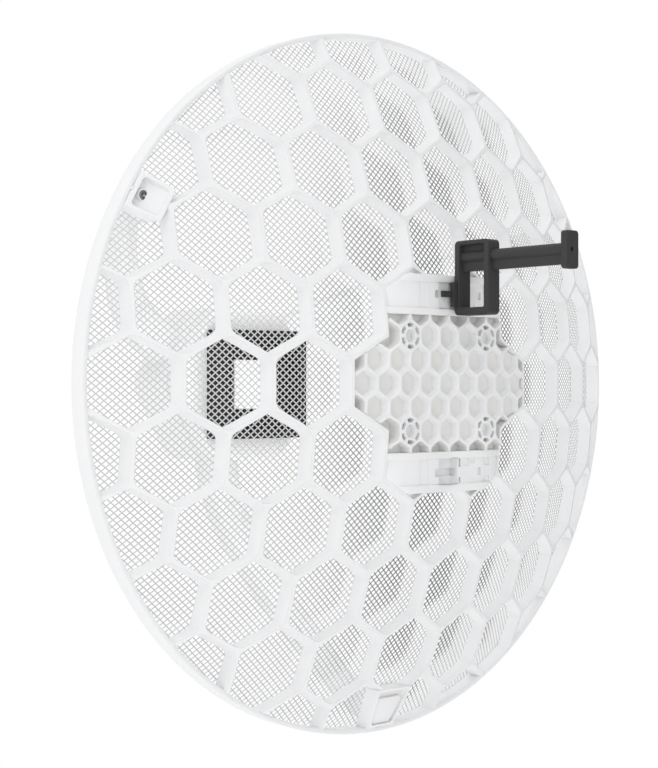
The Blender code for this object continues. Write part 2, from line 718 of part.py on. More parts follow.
def main():
    """Builds the antenna."""
    clear_scene()
    white = plastic("white_plastic", (0.86, 0.87, 0.88), 0.42)
    mesh_metal = plastic("mesh_metal", (0.62, 0.63, 0.64), 0.4, 0.6)
    black = plastic("black_plastic", (0.02, 0.02, 0.022), 0.5)
    graphite = plastic("graphite_plastic", (0.05, 0.05, 0.055), 0.55)
    steel = plastic("screw_steel", (0.3, 0.3, 0.31), 0.4, 1.0)
    maker = Maker()
    rim = tube(DISH_RADIUS, DISH_RADIUS - RIM_WALL, -RIM_DEPTH, 0.0, SEGMENTS)
    maker.add("rim_ring", rim, white, smooth=True)
    comb = Honeycomb()
    for sector in range(SECTORS):
        maker.add(f"rib_sector_{sector + 1}", rib_sector(comb, sector), white)
    make_sheet(maker, comb, mesh_metal)
    make_mount_plate(maker, white)
    make_saddle(maker, "upper", 1, white)
    make_saddle(maker, "lower", -1, white)
    make_arms(maker, white, steel)
    make_feed(maker, white, black)
    make_sight(maker, graphite)


main()
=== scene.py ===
"""Looks of the wireless bridge dish antenna: the moulded honeycomb, its wire grid, the mount, feed and sight.

Sizes are in metres of the dish frame: +Z up, the dish looks along -Y, y = 0 is the rear edge of the
rim and the dish axis is X = Z = 0. A finished piece is moved by SETTLE into the frame's own origin,
which lies on the mount plate's rear face, a third of a hexagon's side above the dish axis.
"""

import json
import logging
import math
from collections.abc import Callable
from dataclasses import dataclass
from enum import Enum

import bmesh
import bpy
from mathutils import Euler, Matrix, Vector


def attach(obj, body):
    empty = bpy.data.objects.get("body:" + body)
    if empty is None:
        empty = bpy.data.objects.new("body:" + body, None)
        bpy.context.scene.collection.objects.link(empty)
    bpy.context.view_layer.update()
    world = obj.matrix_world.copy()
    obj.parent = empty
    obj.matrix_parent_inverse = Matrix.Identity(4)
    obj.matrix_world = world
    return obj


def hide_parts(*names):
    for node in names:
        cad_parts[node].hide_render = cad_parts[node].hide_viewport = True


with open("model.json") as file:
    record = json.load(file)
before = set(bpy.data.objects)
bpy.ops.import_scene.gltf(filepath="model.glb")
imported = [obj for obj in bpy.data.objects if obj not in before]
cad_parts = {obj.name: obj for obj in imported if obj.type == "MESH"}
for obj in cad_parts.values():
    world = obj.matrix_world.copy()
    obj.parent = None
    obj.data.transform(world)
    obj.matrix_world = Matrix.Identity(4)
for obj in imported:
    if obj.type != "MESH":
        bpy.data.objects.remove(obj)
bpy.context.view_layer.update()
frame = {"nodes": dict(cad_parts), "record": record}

LOG = logging.getLogger("antenna")
MM = 0.001
PLATE_REAR = 55.7
HEXAGON_SIDE = 25.083
SETTLE = Vector((0.0, -PLATE_REAR, -HEXAGON_SIDE / 3)) * MM
UPRIGHT = Euler((math.radians(90), 0.0, 0.0))
OVERCUT = 10.0 * MM
WHITE = (1.0, 1.0, 1.0, 1.0)

# Sockets of a Mix node that mixes colours, by number
MIX_FACTOR, MIX_FIRST, MIX_SECOND, MIX_COLOUR = 0, 6, 7, 2


class Slot(Enum):
    """The record's material slots."""

    WHITE = "white_plastic"
    MESH = "mesh_metal"
    BLACK = "black_plastic"
    GRAPHITE = "graphite_plastic"
    STEEL = "screw_steel"


# Shader expressions


class Value:
    """A number socket that takes part in Python expressions."""

    def __init__(self, graph: "Tree", socket: bpy.types.NodeSocket) -> None:
        """Keeps the socket and the graph that it is in."""
        self.graph = graph
        self.socket = socket

    def _math(self, operation: str, first: object, second: object) -> "Value":
        """One Math node.

        Args:
            operation: the node's operation.
            first: a Value or a number.
            second: a Value or a number.

        Returns:
            The node's result.
        """
        result = self.graph.add("ShaderNodeMath", {"operation": operation}, {0: first, 1: second})
        return Value(self.graph, result)

    def __add__(self, other: object) -> "Value":
        """Sum."""
        return self._math("ADD", self, other)

    __radd__ = __add__

    def __sub__(self, other: object) -> "Value":
        """Difference."""
        return self._math("SUBTRACT", self, other)

    def __rsub__(self, other: object) -> "Value":
        """Difference from a number."""
        return self._math("SUBTRACT", other, self)

    def __mul__(self, other: object) -> "Value":
        """Product."""
        return self._math("MULTIPLY", self, other)

    __rmul__ = __mul__


class Tree:
    """A node tree of a material or a world."""

    def __init__(self, tree: bpy.types.NodeTree) -> None:
        """Keeps the tree's nodes and links."""
        self.nodes = tree.nodes
        self.links = tree.links

    def add(self, kind: str, settings: dict, inputs: dict, output: object = 0) -> bpy.types.NodeSocket:
        """Adds any node.

        Args:
            kind: the node's type.
            settings: properties that are set first.
            inputs: values or links by socket name or number.
            output: the name or number of the socket wanted.

        Returns:
            The wanted output socket.
        """
        node = self.nodes.new(kind)
        for key, value in settings.items():
            setattr(node, key, value)
        for key, value in inputs.items():
            self.feed(node.inputs[key], value)
        return node.outputs[output]

    def feed(self, socket: bpy.types.NodeSocket, value: object) -> None:
        """Links or sets one input socket.

        Args:
            socket: the input.
            value: a Value, an output socket or a plain value.
        """
        if isinstance(value, Value):
            value = value.socket
        if isinstance(value, bpy.types.NodeSocket):
            self.links.new(value, socket)
        else:
            socket.default_value = value


class Graph(Tree):
    """A material's node tree with a Principled shader."""

    def __init__(self, name: str) -> None:
        """Starts a material.

        Args:
            name: the material's name.
        """
        self.material = bpy.data.materials.new(name)
        self.material.use_nodes = True
        super().__init__(self.material.node_tree)
        self.shader = self.nodes["Principled BSDF"]
        self.place = self.add("ShaderNodeTexCoord", {}, {}, "Object")

    def noise(self, scale: float, detail: float = 3.0, roughness: float = 0.5) -> Value:
        """Noise over the object's own place, from 0 to 1."""
        return Value(self, self.add("ShaderNodeTexNoise", {}, {
            "Vector": self.place, "Scale": scale, "Detail": detail, "Roughness": roughness}, "Fac"))

    def blend(self, factor: object, first: tuple, second: tuple) -> bpy.types.NodeSocket:
        """A colour between two."""
        return self.add("ShaderNodeMix", {"data_type": "RGBA"}, {
            MIX_FACTOR: factor, MIX_FIRST: (*first, 1.0), MIX_SECOND: (*second, 1.0)}, MIX_COLOUR)

    def bump(self, height: Value, distance: float, strength: float, edge: float = 0.0) -> None:
        """Puts relief on the surface.

        Args:
            height: the relief, from 0 to 1.
            distance: its depth in metres.
            strength: how much of it shows.
            edge: the radius that sharp edges seem to have, in metres.
        """
        inputs = {"Height": height, "Distance": distance, "Strength": strength}
        if edge:
            inputs["Normal"] = self.add("ShaderNodeBevel", {"samples": 4}, {"Radius": edge})
        self.feed(self.shader.inputs["Normal"], self.add("ShaderNodeBump", {}, inputs))

    def set(self, **values: object) -> None:
        """Sets the shader's sockets, an underscore standing for a space."""
        for key, value in values.items():
            self.feed(self.shader.inputs[key.replace("_", " ")], value)


@dataclass(frozen=True)
class MouldedPlastic:
    """Injection-moulded plastic with a fine grain and slightly uneven gloss.

    Attributes:
        name: the material's name.
        light: its lighter colour.
        dark: its darker colour.
        gloss: its mean roughness.
        specular: how strongly it reflects.
        cloud: scale of the slow changes.
        grain: scale of the fine grain.
        swing: how much the cloud and the grain change the roughness.
        relief: depth of the grain in metres.
        strength: how much of the relief shows.
        edge: the radius that sharp edges seem to have.
    """

    name: str
    light: tuple
    dark: tuple
    gloss: float
    specular: float = 0.5
    cloud: float = 38.0
    grain: float = 2600.0
    swing: tuple = (0.12, 0.08)
    relief: float = 0.00006
    strength: float = 0.35
    edge: float = 0.0004

    def make(self) -> bpy.types.Material:
        """Builds the material.

        Returns:
            The material.
        """
        graph = Graph(self.name)
        cloud = graph.noise(self.cloud, detail=4.0)
        grain = graph.noise(self.grain, detail=2.0)
        graph.set(Base_Color=graph.blend(cloud, self.dark, self.light),
                  Roughness=self.gloss + self.swing[0] * (cloud - 0.5) + self.swing[1] * (grain - 0.5),
                  Specular_IOR_Level=self.specular)
        graph.bump(grain + 0.6 * cloud, self.relief, self.strength, self.edge)
        return graph.material


@dataclass(frozen=True)
class CoatedWire:
    """Metal grid under a thin grey coat, a little streaked.

    Attributes:
        name: the material's name.
        light: its lighter colour.
        dark: its darker colour.
        streak: scale of the slow changes.
        speck: scale of the fine specks.
        gloss: its mean roughness.
        swing: how much the specks change the roughness.
        relief: depth of the specks in metres.
    """

    name: str
    light: tuple = (0.80, 0.802, 0.805)
    dark: tuple = (0.66, 0.662, 0.665)
    streak: float = 22.0
    speck: float = 1400.0
    gloss: float = 0.22
    swing: float = 0.12
    relief: float = 0.00004

    def make(self) -> bpy.types.Material:
        """Builds the material.

        Returns:
            The material.
        """
        graph = Graph(self.name)
        streak = graph.noise(self.streak, detail=4.0)
        speck = graph.noise(self.speck, detail=2.0)
        graph.set(Base_Color=graph.blend(streak * 0.7 + speck * 0.3, self.dark, self.light),
                  Roughness=self.gloss + self.swing * (speck - 0.5), Metallic=1.0)
        graph.bump(speck, self.relief, 0.3)
        return graph.material


@dataclass(frozen=True)
class BrightSteel:
    """Turned screw steel.

    Attributes:
        name: the material's name.
        light: its lighter colour.
        dark: its darker colour.
        turning: scale of the marks of turning.
        gloss: its mean roughness.
        swing: how much the marks change the roughness.
        relief: depth of the marks in metres.
    """

    name: str
    light: tuple = (0.42, 0.42, 0.43)
    dark: tuple = (0.24, 0.24, 0.25)
    turning: float = 900.0
    gloss: float = 0.32
    swing: float = 0.2
    relief: float = 0.00003

    def make(self) -> bpy.types.Material:
        """Builds the material.

        Returns:
            The material.
        """
        graph = Graph(self.name)
        marks = graph.noise(self.turning)
        graph.set(Base_Color=graph.blend(marks, self.dark, self.light),
                  Roughness=self.gloss + self.swing * (marks - 0.5), Metallic=1.0)
        graph.bump(marks, self.relief, 0.3)
        return graph.material


# Modelling bench


class Bench:
    """Operators as used by hand, each on one active object."""

    @staticmethod
    def clear() -> None:
        """Deselects everything."""
        bpy.ops.object.select_all(action="DESELECT")

    @staticmethod
    def hold(obj: bpy.types.Object) -> None:
        """Makes one object active and selected alone.

        Args:
            obj: the object.
        """
        Bench.clear()
        obj.select_set(True)
        bpy.context.view_layer.objects.active = obj

    @staticmethod
    def freeze(obj: bpy.types.Object) -> None:
        """Applies location, rotation and scale to the mesh."""
        Bench.hold(obj)
        bpy.ops.object.transform_apply(location=True, rotation=True, scale=True)

    @staticmethod
    def block(name: str, low: tuple, high: tuple) -> bpy.types.Object:
        """A cube primitive between two corners, its transform applied.

        Args:
            name: the object's name.
            low: its corner with the smallest coordinates.
            high: the opposite corner.

        Returns:
            The object.
        """
        Bench.clear()
        size = [b - a for a, b in zip(low, high)]
        centre = [(b + a) / 2 for a, b in zip(low, high)]
        bpy.ops.mesh.primitive_cube_add(size=1.0, location=centre, scale=size)
        obj = bpy.context.object
        obj.name = name
        Bench.freeze(obj)
        return obj

    @staticmethod
    def post(name: str, radius: float, y_low: float, y_high: float, sides: int,
             centre: tuple = (0.0, 0.0), turn: float = 0.0) -> bpy.types.Object:
        """A cylinder primitive along Y, its transform applied.

        Args:
            name: the object's name.
            radius: to its corners.
            y_low: its front.
            y_high: its rear.
            sides: how many sides.
            centre: (x, z) of its axis.
            turn: rotation about its axis in radians.

        Returns:
            The object.
        """
        Bench.clear()
        bpy.ops.mesh.primitive_cylinder_add(vertices=sides, radius=radius, depth=y_high - y_low)
        obj = bpy.context.object
        obj.name = name
        obj.rotation_euler = (0.0, 0.0, turn)
        Bench.freeze(obj)
        obj.rotation_euler = UPRIGHT
        obj.location = (centre[0], (y_low + y_high) / 2, centre[1])
        Bench.freeze(obj)
        return obj

    @staticmethod
    def sheet(name: str, outline: list, low: float, high: float) -> bpy.types.Object:
        """An outline of (x, z) points, extruded along Y.

        Args:
            name: the object's name.
            outline: its points in order.
            low: its front.
            high: its rear.

        Returns:
            The object.
        """
        Bench.clear()
        bpy.ops.mesh.primitive_circle_add(vertices=len(outline), radius=1.0, fill_type="NGON")
        obj = bpy.context.object
        obj.name = name
        for vert, point in zip(obj.data.vertices, outline):
            vert.co = (point[0], low, point[1])
        bpy.ops.object.mode_set(mode="EDIT")
        bpy.ops.mesh.select_all(action="SELECT")
        bpy.ops.mesh.extrude_region_move(TRANSFORM_OT_translate={"value": (0.0, high - low, 0.0)})
        bpy.ops.mesh.select_all(action="SELECT")
        bpy.ops.mesh.normals_make_consistent(inside=False)
        bpy.ops.object.mode_set(mode="OBJECT")
        return obj

    @staticmethod
    def upright(name: str, outline: list, low: float, high: float) -> bpy.types.Object:
        """An outline of (x, y) points, extruded along Z.

        Args:
            name: the object's name.
            outline: its points in order.
            low: its lower end.
            high: its upper end.

        Returns:
            The object.
        """
        obj = Bench.sheet(name, outline, low, high)
        for vert in obj.data.vertices:
            x, z, y = vert.co
            vert.co = (x, y, z)
        Bench.outward(obj)
        return obj

    @staticmethod
    def spans(axis: str, length: float) -> Callable:
        """A test for edges that reach further than a length along an axis."""
        return lambda a, b: abs(getattr(a, axis) - getattr(b, axis)) > length

    @staticmethod
    def pick_edges(obj: bpy.types.Object, chosen: Callable) -> None:
        """Enters edit mode with some edges selected.

        Args:
            obj: the object.
            chosen: a test of an edge's two ends.
        """
        Bench.hold(obj)
        bpy.ops.object.mode_set(mode="EDIT")
        bpy.ops.mesh.select_mode(type="EDGE")
        bpy.ops.mesh.select_all(action="DESELECT")
        mesh = bmesh.from_edit_mesh(obj.data)
        for edge in mesh.edges:
            if chosen(edge.verts[0].co, edge.verts[1].co):
                edge.select = True
        bmesh.update_edit_mesh(obj.data)

    @staticmethod
    def subdivide_where(obj: bpy.types.Object, cuts: int, chosen: Callable) -> None:
        """Cuts the edges that a test of their two ends chooses.

        Args:
            obj: the object.
            cuts: how many cuts each gets.
            chosen: the test.
        """
        Bench.pick_edges(obj, chosen)
        bpy.ops.mesh.subdivide(number_cuts=cuts)
        bpy.ops.object.mode_set(mode="OBJECT")

    @staticmethod
    def bevel_where(obj: bpy.types.Object, width: float, segments: int, chosen: Callable) -> None:
        """Bevels the edges that a test of their two ends chooses.

        Args:
            obj: the object.
            width: how far the bevel reaches.
            segments: how many faces round it.
            chosen: the test.
        """
        Bench.pick_edges(obj, chosen)
        bpy.ops.mesh.bevel(offset=width, segments=segments, profile=0.5)
        bpy.ops.object.mode_set(mode="OBJECT")

    @staticmethod
    def round_edges(obj: bpy.types.Object, width: float, segments: int = 3, angle: float = 40.0) -> None:
        """Rounds the sharp edges with a Bevel modifier and applies it.

        Args:
            obj: the object.
            width: how far the rounding reaches.
            segments: how many faces round it.
            angle: the angle in degrees from which an edge is sharp.
        """
        modifier = obj.modifiers.new("round", "BEVEL")
        modifier.width = width
        modifier.segments = segments
        modifier.limit_method = "ANGLE"
        modifier.angle_limit = math.radians(angle)
        modifier.harden_normals = False
        Bench.hold(obj)
        bpy.ops.object.modifier_apply(modifier=modifier.name)

    @staticmethod
    def carve(obj: bpy.types.Object, tool: bpy.types.Object, operation: str = "DIFFERENCE") -> None:
        """Applies a Boolean with a tool that is then removed.

        Args:
            obj: the object.
            tool: the tool.
            operation: the Boolean's operation.
        """
        modifier = obj.modifiers.new("carve", "BOOLEAN")
        modifier.operation = operation
        modifier.solver = "EXACT"
        modifier.object = tool
        Bench.hold(obj)
        bpy.ops.object.modifier_apply(modifier=modifier.name)
        bpy.data.objects.remove(tool, do_unlink=True)

    @staticmethod
    def join(name: str, parts: list) -> bpy.types.Object:
        """Joins objects into one.

        Args:
            name: its name.
            parts: the objects, two or more.

        Returns:
            The first object, which holds them all.
        """
        Bench.clear()
        for part in parts:
            part.select_set(True)
        bpy.context.view_layer.objects.active = parts[0]
        bpy.ops.object.join()
        parts[0].name = name
        return parts[0]

    @staticmethod
    def copy(obj: bpy.types.Object, place: Vector) -> bpy.types.Object:
        """A copy with its own mesh.

        Args:
            obj: the object.
            place: how far the copy is moved.

        Returns:
            The copy.
        """
        twin = obj.copy()
        twin.data = obj.data.copy()
        bpy.context.collection.objects.link(twin)
        twin.data.transform(Matrix.Translation(place))
        return twin

    @staticmethod
    def copies(pattern: bpy.types.Object, places: list) -> list:
        """Copies at several places, after which the pattern is removed.

        Args:
            pattern: the object.
            places: how far each copy is moved.

        Returns:
            The copies.
        """
        made = [Bench.copy(pattern, place) for place in places]
        bpy.data.objects.remove(pattern, do_unlink=True)
        return made

    @staticmethod
    def smooth(obj: bpy.types.Object, angle: float) -> None:
        """Shades the piece smooth below an angle."""
        Bench.hold(obj)
        bpy.ops.object.shade_smooth_by_angle(angle=math.radians(angle))

    @staticmethod
    def outward(obj: bpy.types.Object, merge: float = 0.002 * MM) -> None:
        """Merges doubles and turns the faces outwards.

        Args:
            obj: the object.
            merge: how close two vertices are to be merged.
        """
        Bench.hold(obj)
        bpy.ops.object.mode_set(mode="EDIT")
        bpy.ops.mesh.select_all(action="SELECT")
        bpy.ops.mesh.remove_doubles(threshold=merge)
        bpy.ops.mesh.normals_make_consistent(inside=False)
        bpy.ops.object.mode_set(mode="OBJECT")


class Finishes:
    """The materials, made once."""

    def __init__(self) -> None:
        """Makes every finish."""
        self.by_slot = {
            Slot.WHITE: MouldedPlastic("white_moulding", (0.90, 0.905, 0.91), (0.86, 0.865, 0.875),
                                       gloss=0.45, specular=0.35).make(),
            Slot.MESH: CoatedWire("coated_grid").make(),
            Slot.BLACK: MouldedPlastic("black_moulding", (0.020, 0.020, 0.021), (0.014, 0.014, 0.015),
                                       gloss=0.6, specular=0.2).make(),
            Slot.GRAPHITE: MouldedPlastic("graphite_moulding", (0.052, 0.052, 0.053), (0.045, 0.045, 0.046),
                                          gloss=0.55, specular=0.25).make(),
            Slot.STEEL: BrightSteel("screw_steel").make(),
        }
        # Painted shade: a darker copy of the white moulding that stands in for the shade in sunk floor faces
        # and deep pockets.
        self.floor = MouldedPlastic("painted_shade_moulding", (0.83, 0.825, 0.81), (0.80, 0.795, 0.78),
                                    gloss=0.5, specular=0.3).make()

    def dress(self, obj: bpy.types.Object, slot: Slot) -> None:
        """Gives an object one finish."""
        obj.data.materials.clear()
        obj.data.materials.append(self.by_slot[slot])

    def shade_faces(self, obj: bpy.types.Object, chosen: list) -> None:
        """Gives some faces painted shade, a darker copy of the moulding for sunk floor faces.

        Args:
            obj: the finished piece.
            chosen: the faces' numbers.
        """
        obj.data.materials.append(self.floor)
        for face in obj.data.polygons:
            face.material_index = 0
        for index in chosen:
            obj.data.polygons[index].material_index = 1

    def finish_piece(self, obj: bpy.types.Object, slot: Slot, *nodes: str, angle: float = 35.0) -> None:
        """Settles, shades, dresses and declares a new piece.

        Args:
            obj: the piece, in the dish frame.
            slot: its material slot.
            nodes: the CAD nodes that it stands for.
            angle: the angle in degrees under which it is shaded smooth.
        """
        Bench.smooth(obj, angle)
        obj.data.transform(Matrix.Translation(SETTLE))
        self.dress(obj, slot)
        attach(obj, "root")
        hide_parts(*nodes)
        LOG.info("piece %s: %d faces", obj.name, len(obj.data.polygons))


# The dish


@dataclass
class Dish:
    """Sizes that the ribs, the grid and the rim share."""

    radius: float = 195.5 * MM
    height: float = 56.9 * MM
    rib_depth: float = 9.2 * MM
    cells_across: int = 9
    sheet_gap: float = 0.9 * MM
    arm_angles: tuple = (30.0, 150.0, 270.0)

    @property
    def cell(self) -> float:
        """Distance between neighbouring cells."""
        return 2 * self.radius / self.cells_across

    @property
    def side(self) -> float:
        """Side of a hexagon."""
        return self.cell / math.sqrt(3)

    @property
    def row(self) -> float:
        """Distance between rows of cells."""
        return 1.5 * self.side

    def dome(self, radius: float) -> float:
        """y of the ribs' rear edges at a distance from the axis."""
        return self.height * (1 - (radius / self.radius) ** 2)

    def centres(self) -> list:
        """Cells that lie at least partly inside the rim.

        Returns:
            Their middles as (x, z).
        """
        found = []
        for row in range(-6, 7):
            for col in range(-6, 6):
                place = Vector(((col + 0.5 * (row % 2)) * self.cell, row * self.row))
                if place.length < self.radius + 0.75 * self.side:
                    found.append(place)
        return found

    def in_mount(self, place: Vector) -> bool:
        """Whether a cell is one of the seven that the mount fills."""
        return place.length < 1.1 * self.cell


@dataclass
class RibLattice:
    """The honeycomb moulding: a domed slab with its cells cut out.

    Attributes:
        dish: the shared sizes.
        sockets: the arms' sockets, which need room in the ribs.
        wall: thickness of a rib at its rear edge.
        draft: how much a cell's walls lean in all.
        corner: radius of a cell's corners.
        reach: radius of the slab, which ends inside the rim.
        rings: steps from the axis to the rim.
        spokes: steps round the dish.
        seam: how close vertices of the spun slab are to be merged.
        tool_depth: length of the tool that cuts a cell.
        mount_span: y of the front and rear of the tool that makes room for the mount.
        gap_half: half width of the room for a saddle.
        gap_heights: how far above or below the axis that room lies.
        gap_rear: y up to which it is open.
    """

    dish: Dish
    sockets: list
    wall: float = 1.9 * MM
    draft: float = 1.1 * MM
    corner: float = 2.4 * MM
    reach: float = 193.3 * MM
    rings: int = 22
    spokes: int = 120
    seam: float = 0.005 * MM
    tool_depth: float = 56.0 * MM
    mount_span: tuple = (20.0 * MM, 80.0 * MM)
    gap_half: float = 26.5 * MM
    gap_heights: tuple = (36.0 * MM, 58.3 * MM)
    gap_rear: float = 90.0 * MM

    def slab(self) -> bpy.types.Object:
        """A domed slab, spun from a chain of edges and extruded forwards.

        Returns:
            The slab.
        """
        Bench.clear()
        bpy.ops.mesh.primitive_grid_add(x_subdivisions=self.rings, y_subdivisions=1, size=2.0)
        obj = bpy.context.object
        obj.name = "rib_lattice"
        bpy.ops.object.mode_set(mode="EDIT")
        mesh = bmesh.from_edit_mesh(obj.data)
        bmesh.ops.delete(mesh, geom=[v for v in mesh.verts if v.co.y > 0], context="VERTS")
        for vert in mesh.verts:
            radius = (vert.co.x + 1) / 2 * self.reach
            vert.co = (radius, self.dish.dome(radius), 0.0)
        bmesh.update_edit_mesh(obj.data)
        bpy.ops.mesh.select_all(action="SELECT")
        bpy.ops.mesh.spin(steps=self.spokes, angle=2 * math.pi, center=(0, 0, 0), axis=(0, 1, 0))
        bpy.ops.mesh.select_all(action="SELECT")
        bpy.ops.mesh.remove_doubles(threshold=self.seam)
        bpy.ops.mesh.select_all(action="SELECT")
        bpy.ops.mesh.extrude_region_move(TRANSFORM_OT_translate={"value": (0.0, -self.dish.rib_depth, 0.0)})
        bpy.ops.mesh.select_all(action="SELECT")
        bpy.ops.mesh.normals_make_consistent(inside=False)
        bpy.ops.object.mode_set(mode="OBJECT")
        return obj

    def cell_tool(self) -> bpy.types.Object:
        """One drafted cell with round corners, its rear edge at y = 0.

        Returns:
            The tool.
        """
        half = self.tool_depth / 2
        apothem = (self.dish.cell - self.wall) / 2
        tool = Bench.post("cell_tool", apothem / math.cos(math.pi / 6), -half, half, 6)
        for vert in tool.data.vertices:
            apothem_here = apothem + self.draft / 2 / self.dish.rib_depth * vert.co.y
            scale = apothem_here / apothem
            vert.co.x *= scale
            vert.co.z *= scale
        Bench.bevel_where(tool, self.corner, 3, Bench.spans("y", half))
        return tool

    def mount_tool(self) -> bpy.types.Object:
        """The outline of the seven middle cells, as one tool.

        Returns:
            The tool.
        """
        corners = {}
        for place in self.dish.centres():
            for k in range(6):
                turn = math.radians(90 + 60 * k)
                corner = place + self.dish.side * Vector((math.cos(turn), math.sin(turn)))
                key = (round(corner.x, 6), round(corner.y, 6))
                corners.setdefault(key, []).append(place)
        inset = self.wall / 2 / math.cos(math.pi / 6)
        outline = []
        for key, cells in corners.items():
            inside = [c for c in cells if self.dish.in_mount(c)]
            outside = [c for c in cells if not self.dish.in_mount(c)]
            if not inside or not outside:
                continue
            here = Vector(key)
            if len(inside) == 1:
                outline.append(here + (inside[0] - here).normalized() * inset)
            else:
                outline.append(here - (outside[0] - here).normalized() * inset)
        outline.sort(key=lambda p: math.atan2(p.y, p.x))
        return Bench.sheet("mount_tool", outline, *self.mount_span)

    def build(self, finishes: Finishes) -> None:
        """Cuts the cells and the room for the mount, the saddles and the sockets out of the slab.

        Args:
            finishes: the materials.
        """
        slab = self.slab()
        places = []
        for place in self.dish.centres():
            if not self.dish.in_mount(place):
                middle = self.dish.dome(min(place.length, self.dish.radius))
                places.append(Vector((place.x, middle, place.y)))
        Bench.carve(slab, Bench.join("cells", Bench.copies(self.cell_tool(), places)))
        Bench.carve(slab, self.mount_tool())
        for side in (-1, 1):
            low, high = sorted(side * height for height in self.gap_heights)
            gap = Bench.block("saddle_gap", (-self.gap_half, 0.0, low), (self.gap_half, self.gap_rear, high))
            Bench.carve(slab, gap)
        for socket in self.sockets:
            Bench.carve(slab, socket.room())
        finishes.finish_piece(slab, Slot.WHITE, *(f"rib_sector_{n}" for n in range(1, 7)), angle=30.0)


@dataclass
class WireGrid:
    """The reflector: two sets of flat bars that cross at right angles, laid on the dome.

    Attributes:
        dish: the shared sizes.
        pitch: distance between neighbouring bars.
        turn: direction of the bars, in degrees to both sides of level.
        bar: width of a bar.
        thick: its thickness.
        lift: how far one set lies in front of the other.
        reach: radius of the grid.
        bare: how many pitches stay without a bar at the rim.
        pieces: straight lengths in one bar.
    """

    dish: Dish
    pitch: float = 2.495 * MM
    turn: float = 43.9
    bar: float = 0.5 * MM
    thick: float = 0.3 * MM
    lift: float = 0.15 * MM
    reach: float = 192.6 * MM
    bare: float = 0.6
    pieces: int = 30

    def bars(self, turn: float, lift: float) -> bpy.types.Object:
        """One set of parallel bars.

        Args:
            turn: their direction in the dish's plane, in degrees.
            lift: how far in front of the other set they lie.

        Returns:
            The bars, laid on the dome.
        """
        count = 2 * int(self.reach / self.pitch - self.bare) + 1
        first = -(count // 2) * self.pitch
        Bench.clear()
        bpy.ops.mesh.primitive_cube_add(size=1.0, location=(0, 0, first), scale=(2.0, self.thick, self.bar))
        obj = bpy.context.object
        Bench.freeze(obj)
        Bench.subdivide_where(obj, self.pieces - 1, Bench.spans("x", 1.0))
        array = obj.modifiers.new("rows", "ARRAY")
        array.count = count
        array.use_relative_offset = False
        array.use_constant_offset = True
        array.constant_offset_displace = (0.0, 0.0, self.pitch)
        bpy.ops.object.modifier_apply(modifier=array.name)
        direction = math.radians(turn)
        for vert in obj.data.vertices:
            along, off, across = vert.co
            row = round(across / self.pitch) * self.pitch
            length = math.sqrt(self.reach ** 2 - row ** 2)
            x, z = along * length, across
            place = Vector((x * math.cos(direction) - z * math.sin(direction),
                            x * math.sin(direction) + z * math.cos(direction)))
            depth = self.dish.dome(place.length) - self.dish.rib_depth - self.dish.sheet_gap - lift
            vert.co = (place.x, depth + off, place.y)
        return obj

    def build(self, finishes: Finishes) -> None:
        """Lays both sets and joins them.

        Args:
            finishes: the materials.
        """
        grid = Bench.join("wire_grid", [self.bars(self.turn, 0.0), self.bars(-self.turn, self.lift)])
        finishes.finish_piece(grid, Slot.MESH, "reflector_mesh", angle=30.0)
        grid.visible_shadow = False
        grid.visible_diffuse = False


@dataclass
class Rim:
    """The round outer edge with soft corners."""

    dish: Dish
    wall: float = 2.6 * MM
    depth: float = 10.7 * MM
    soft: float = 0.7 * MM
    sides: int = 192

    def build(self, finishes: Finishes) -> None:
        """Cuts a ring from a disc and rounds its edges.

        Args:
            finishes: the materials.
        """
        outer = Bench.post("rim_band", self.dish.radius, -self.depth, 0.0, self.sides)
        Bench.carve(outer, Bench.post("rim_tool", self.dish.radius - self.wall, -self.depth - OVERCUT,
                                      OVERCUT, self.sides))
        Bench.round_edges(outer, self.soft)
        finishes.finish_piece(outer, Slot.WHITE, "rim_ring", angle=40.0)


# Mount and saddles


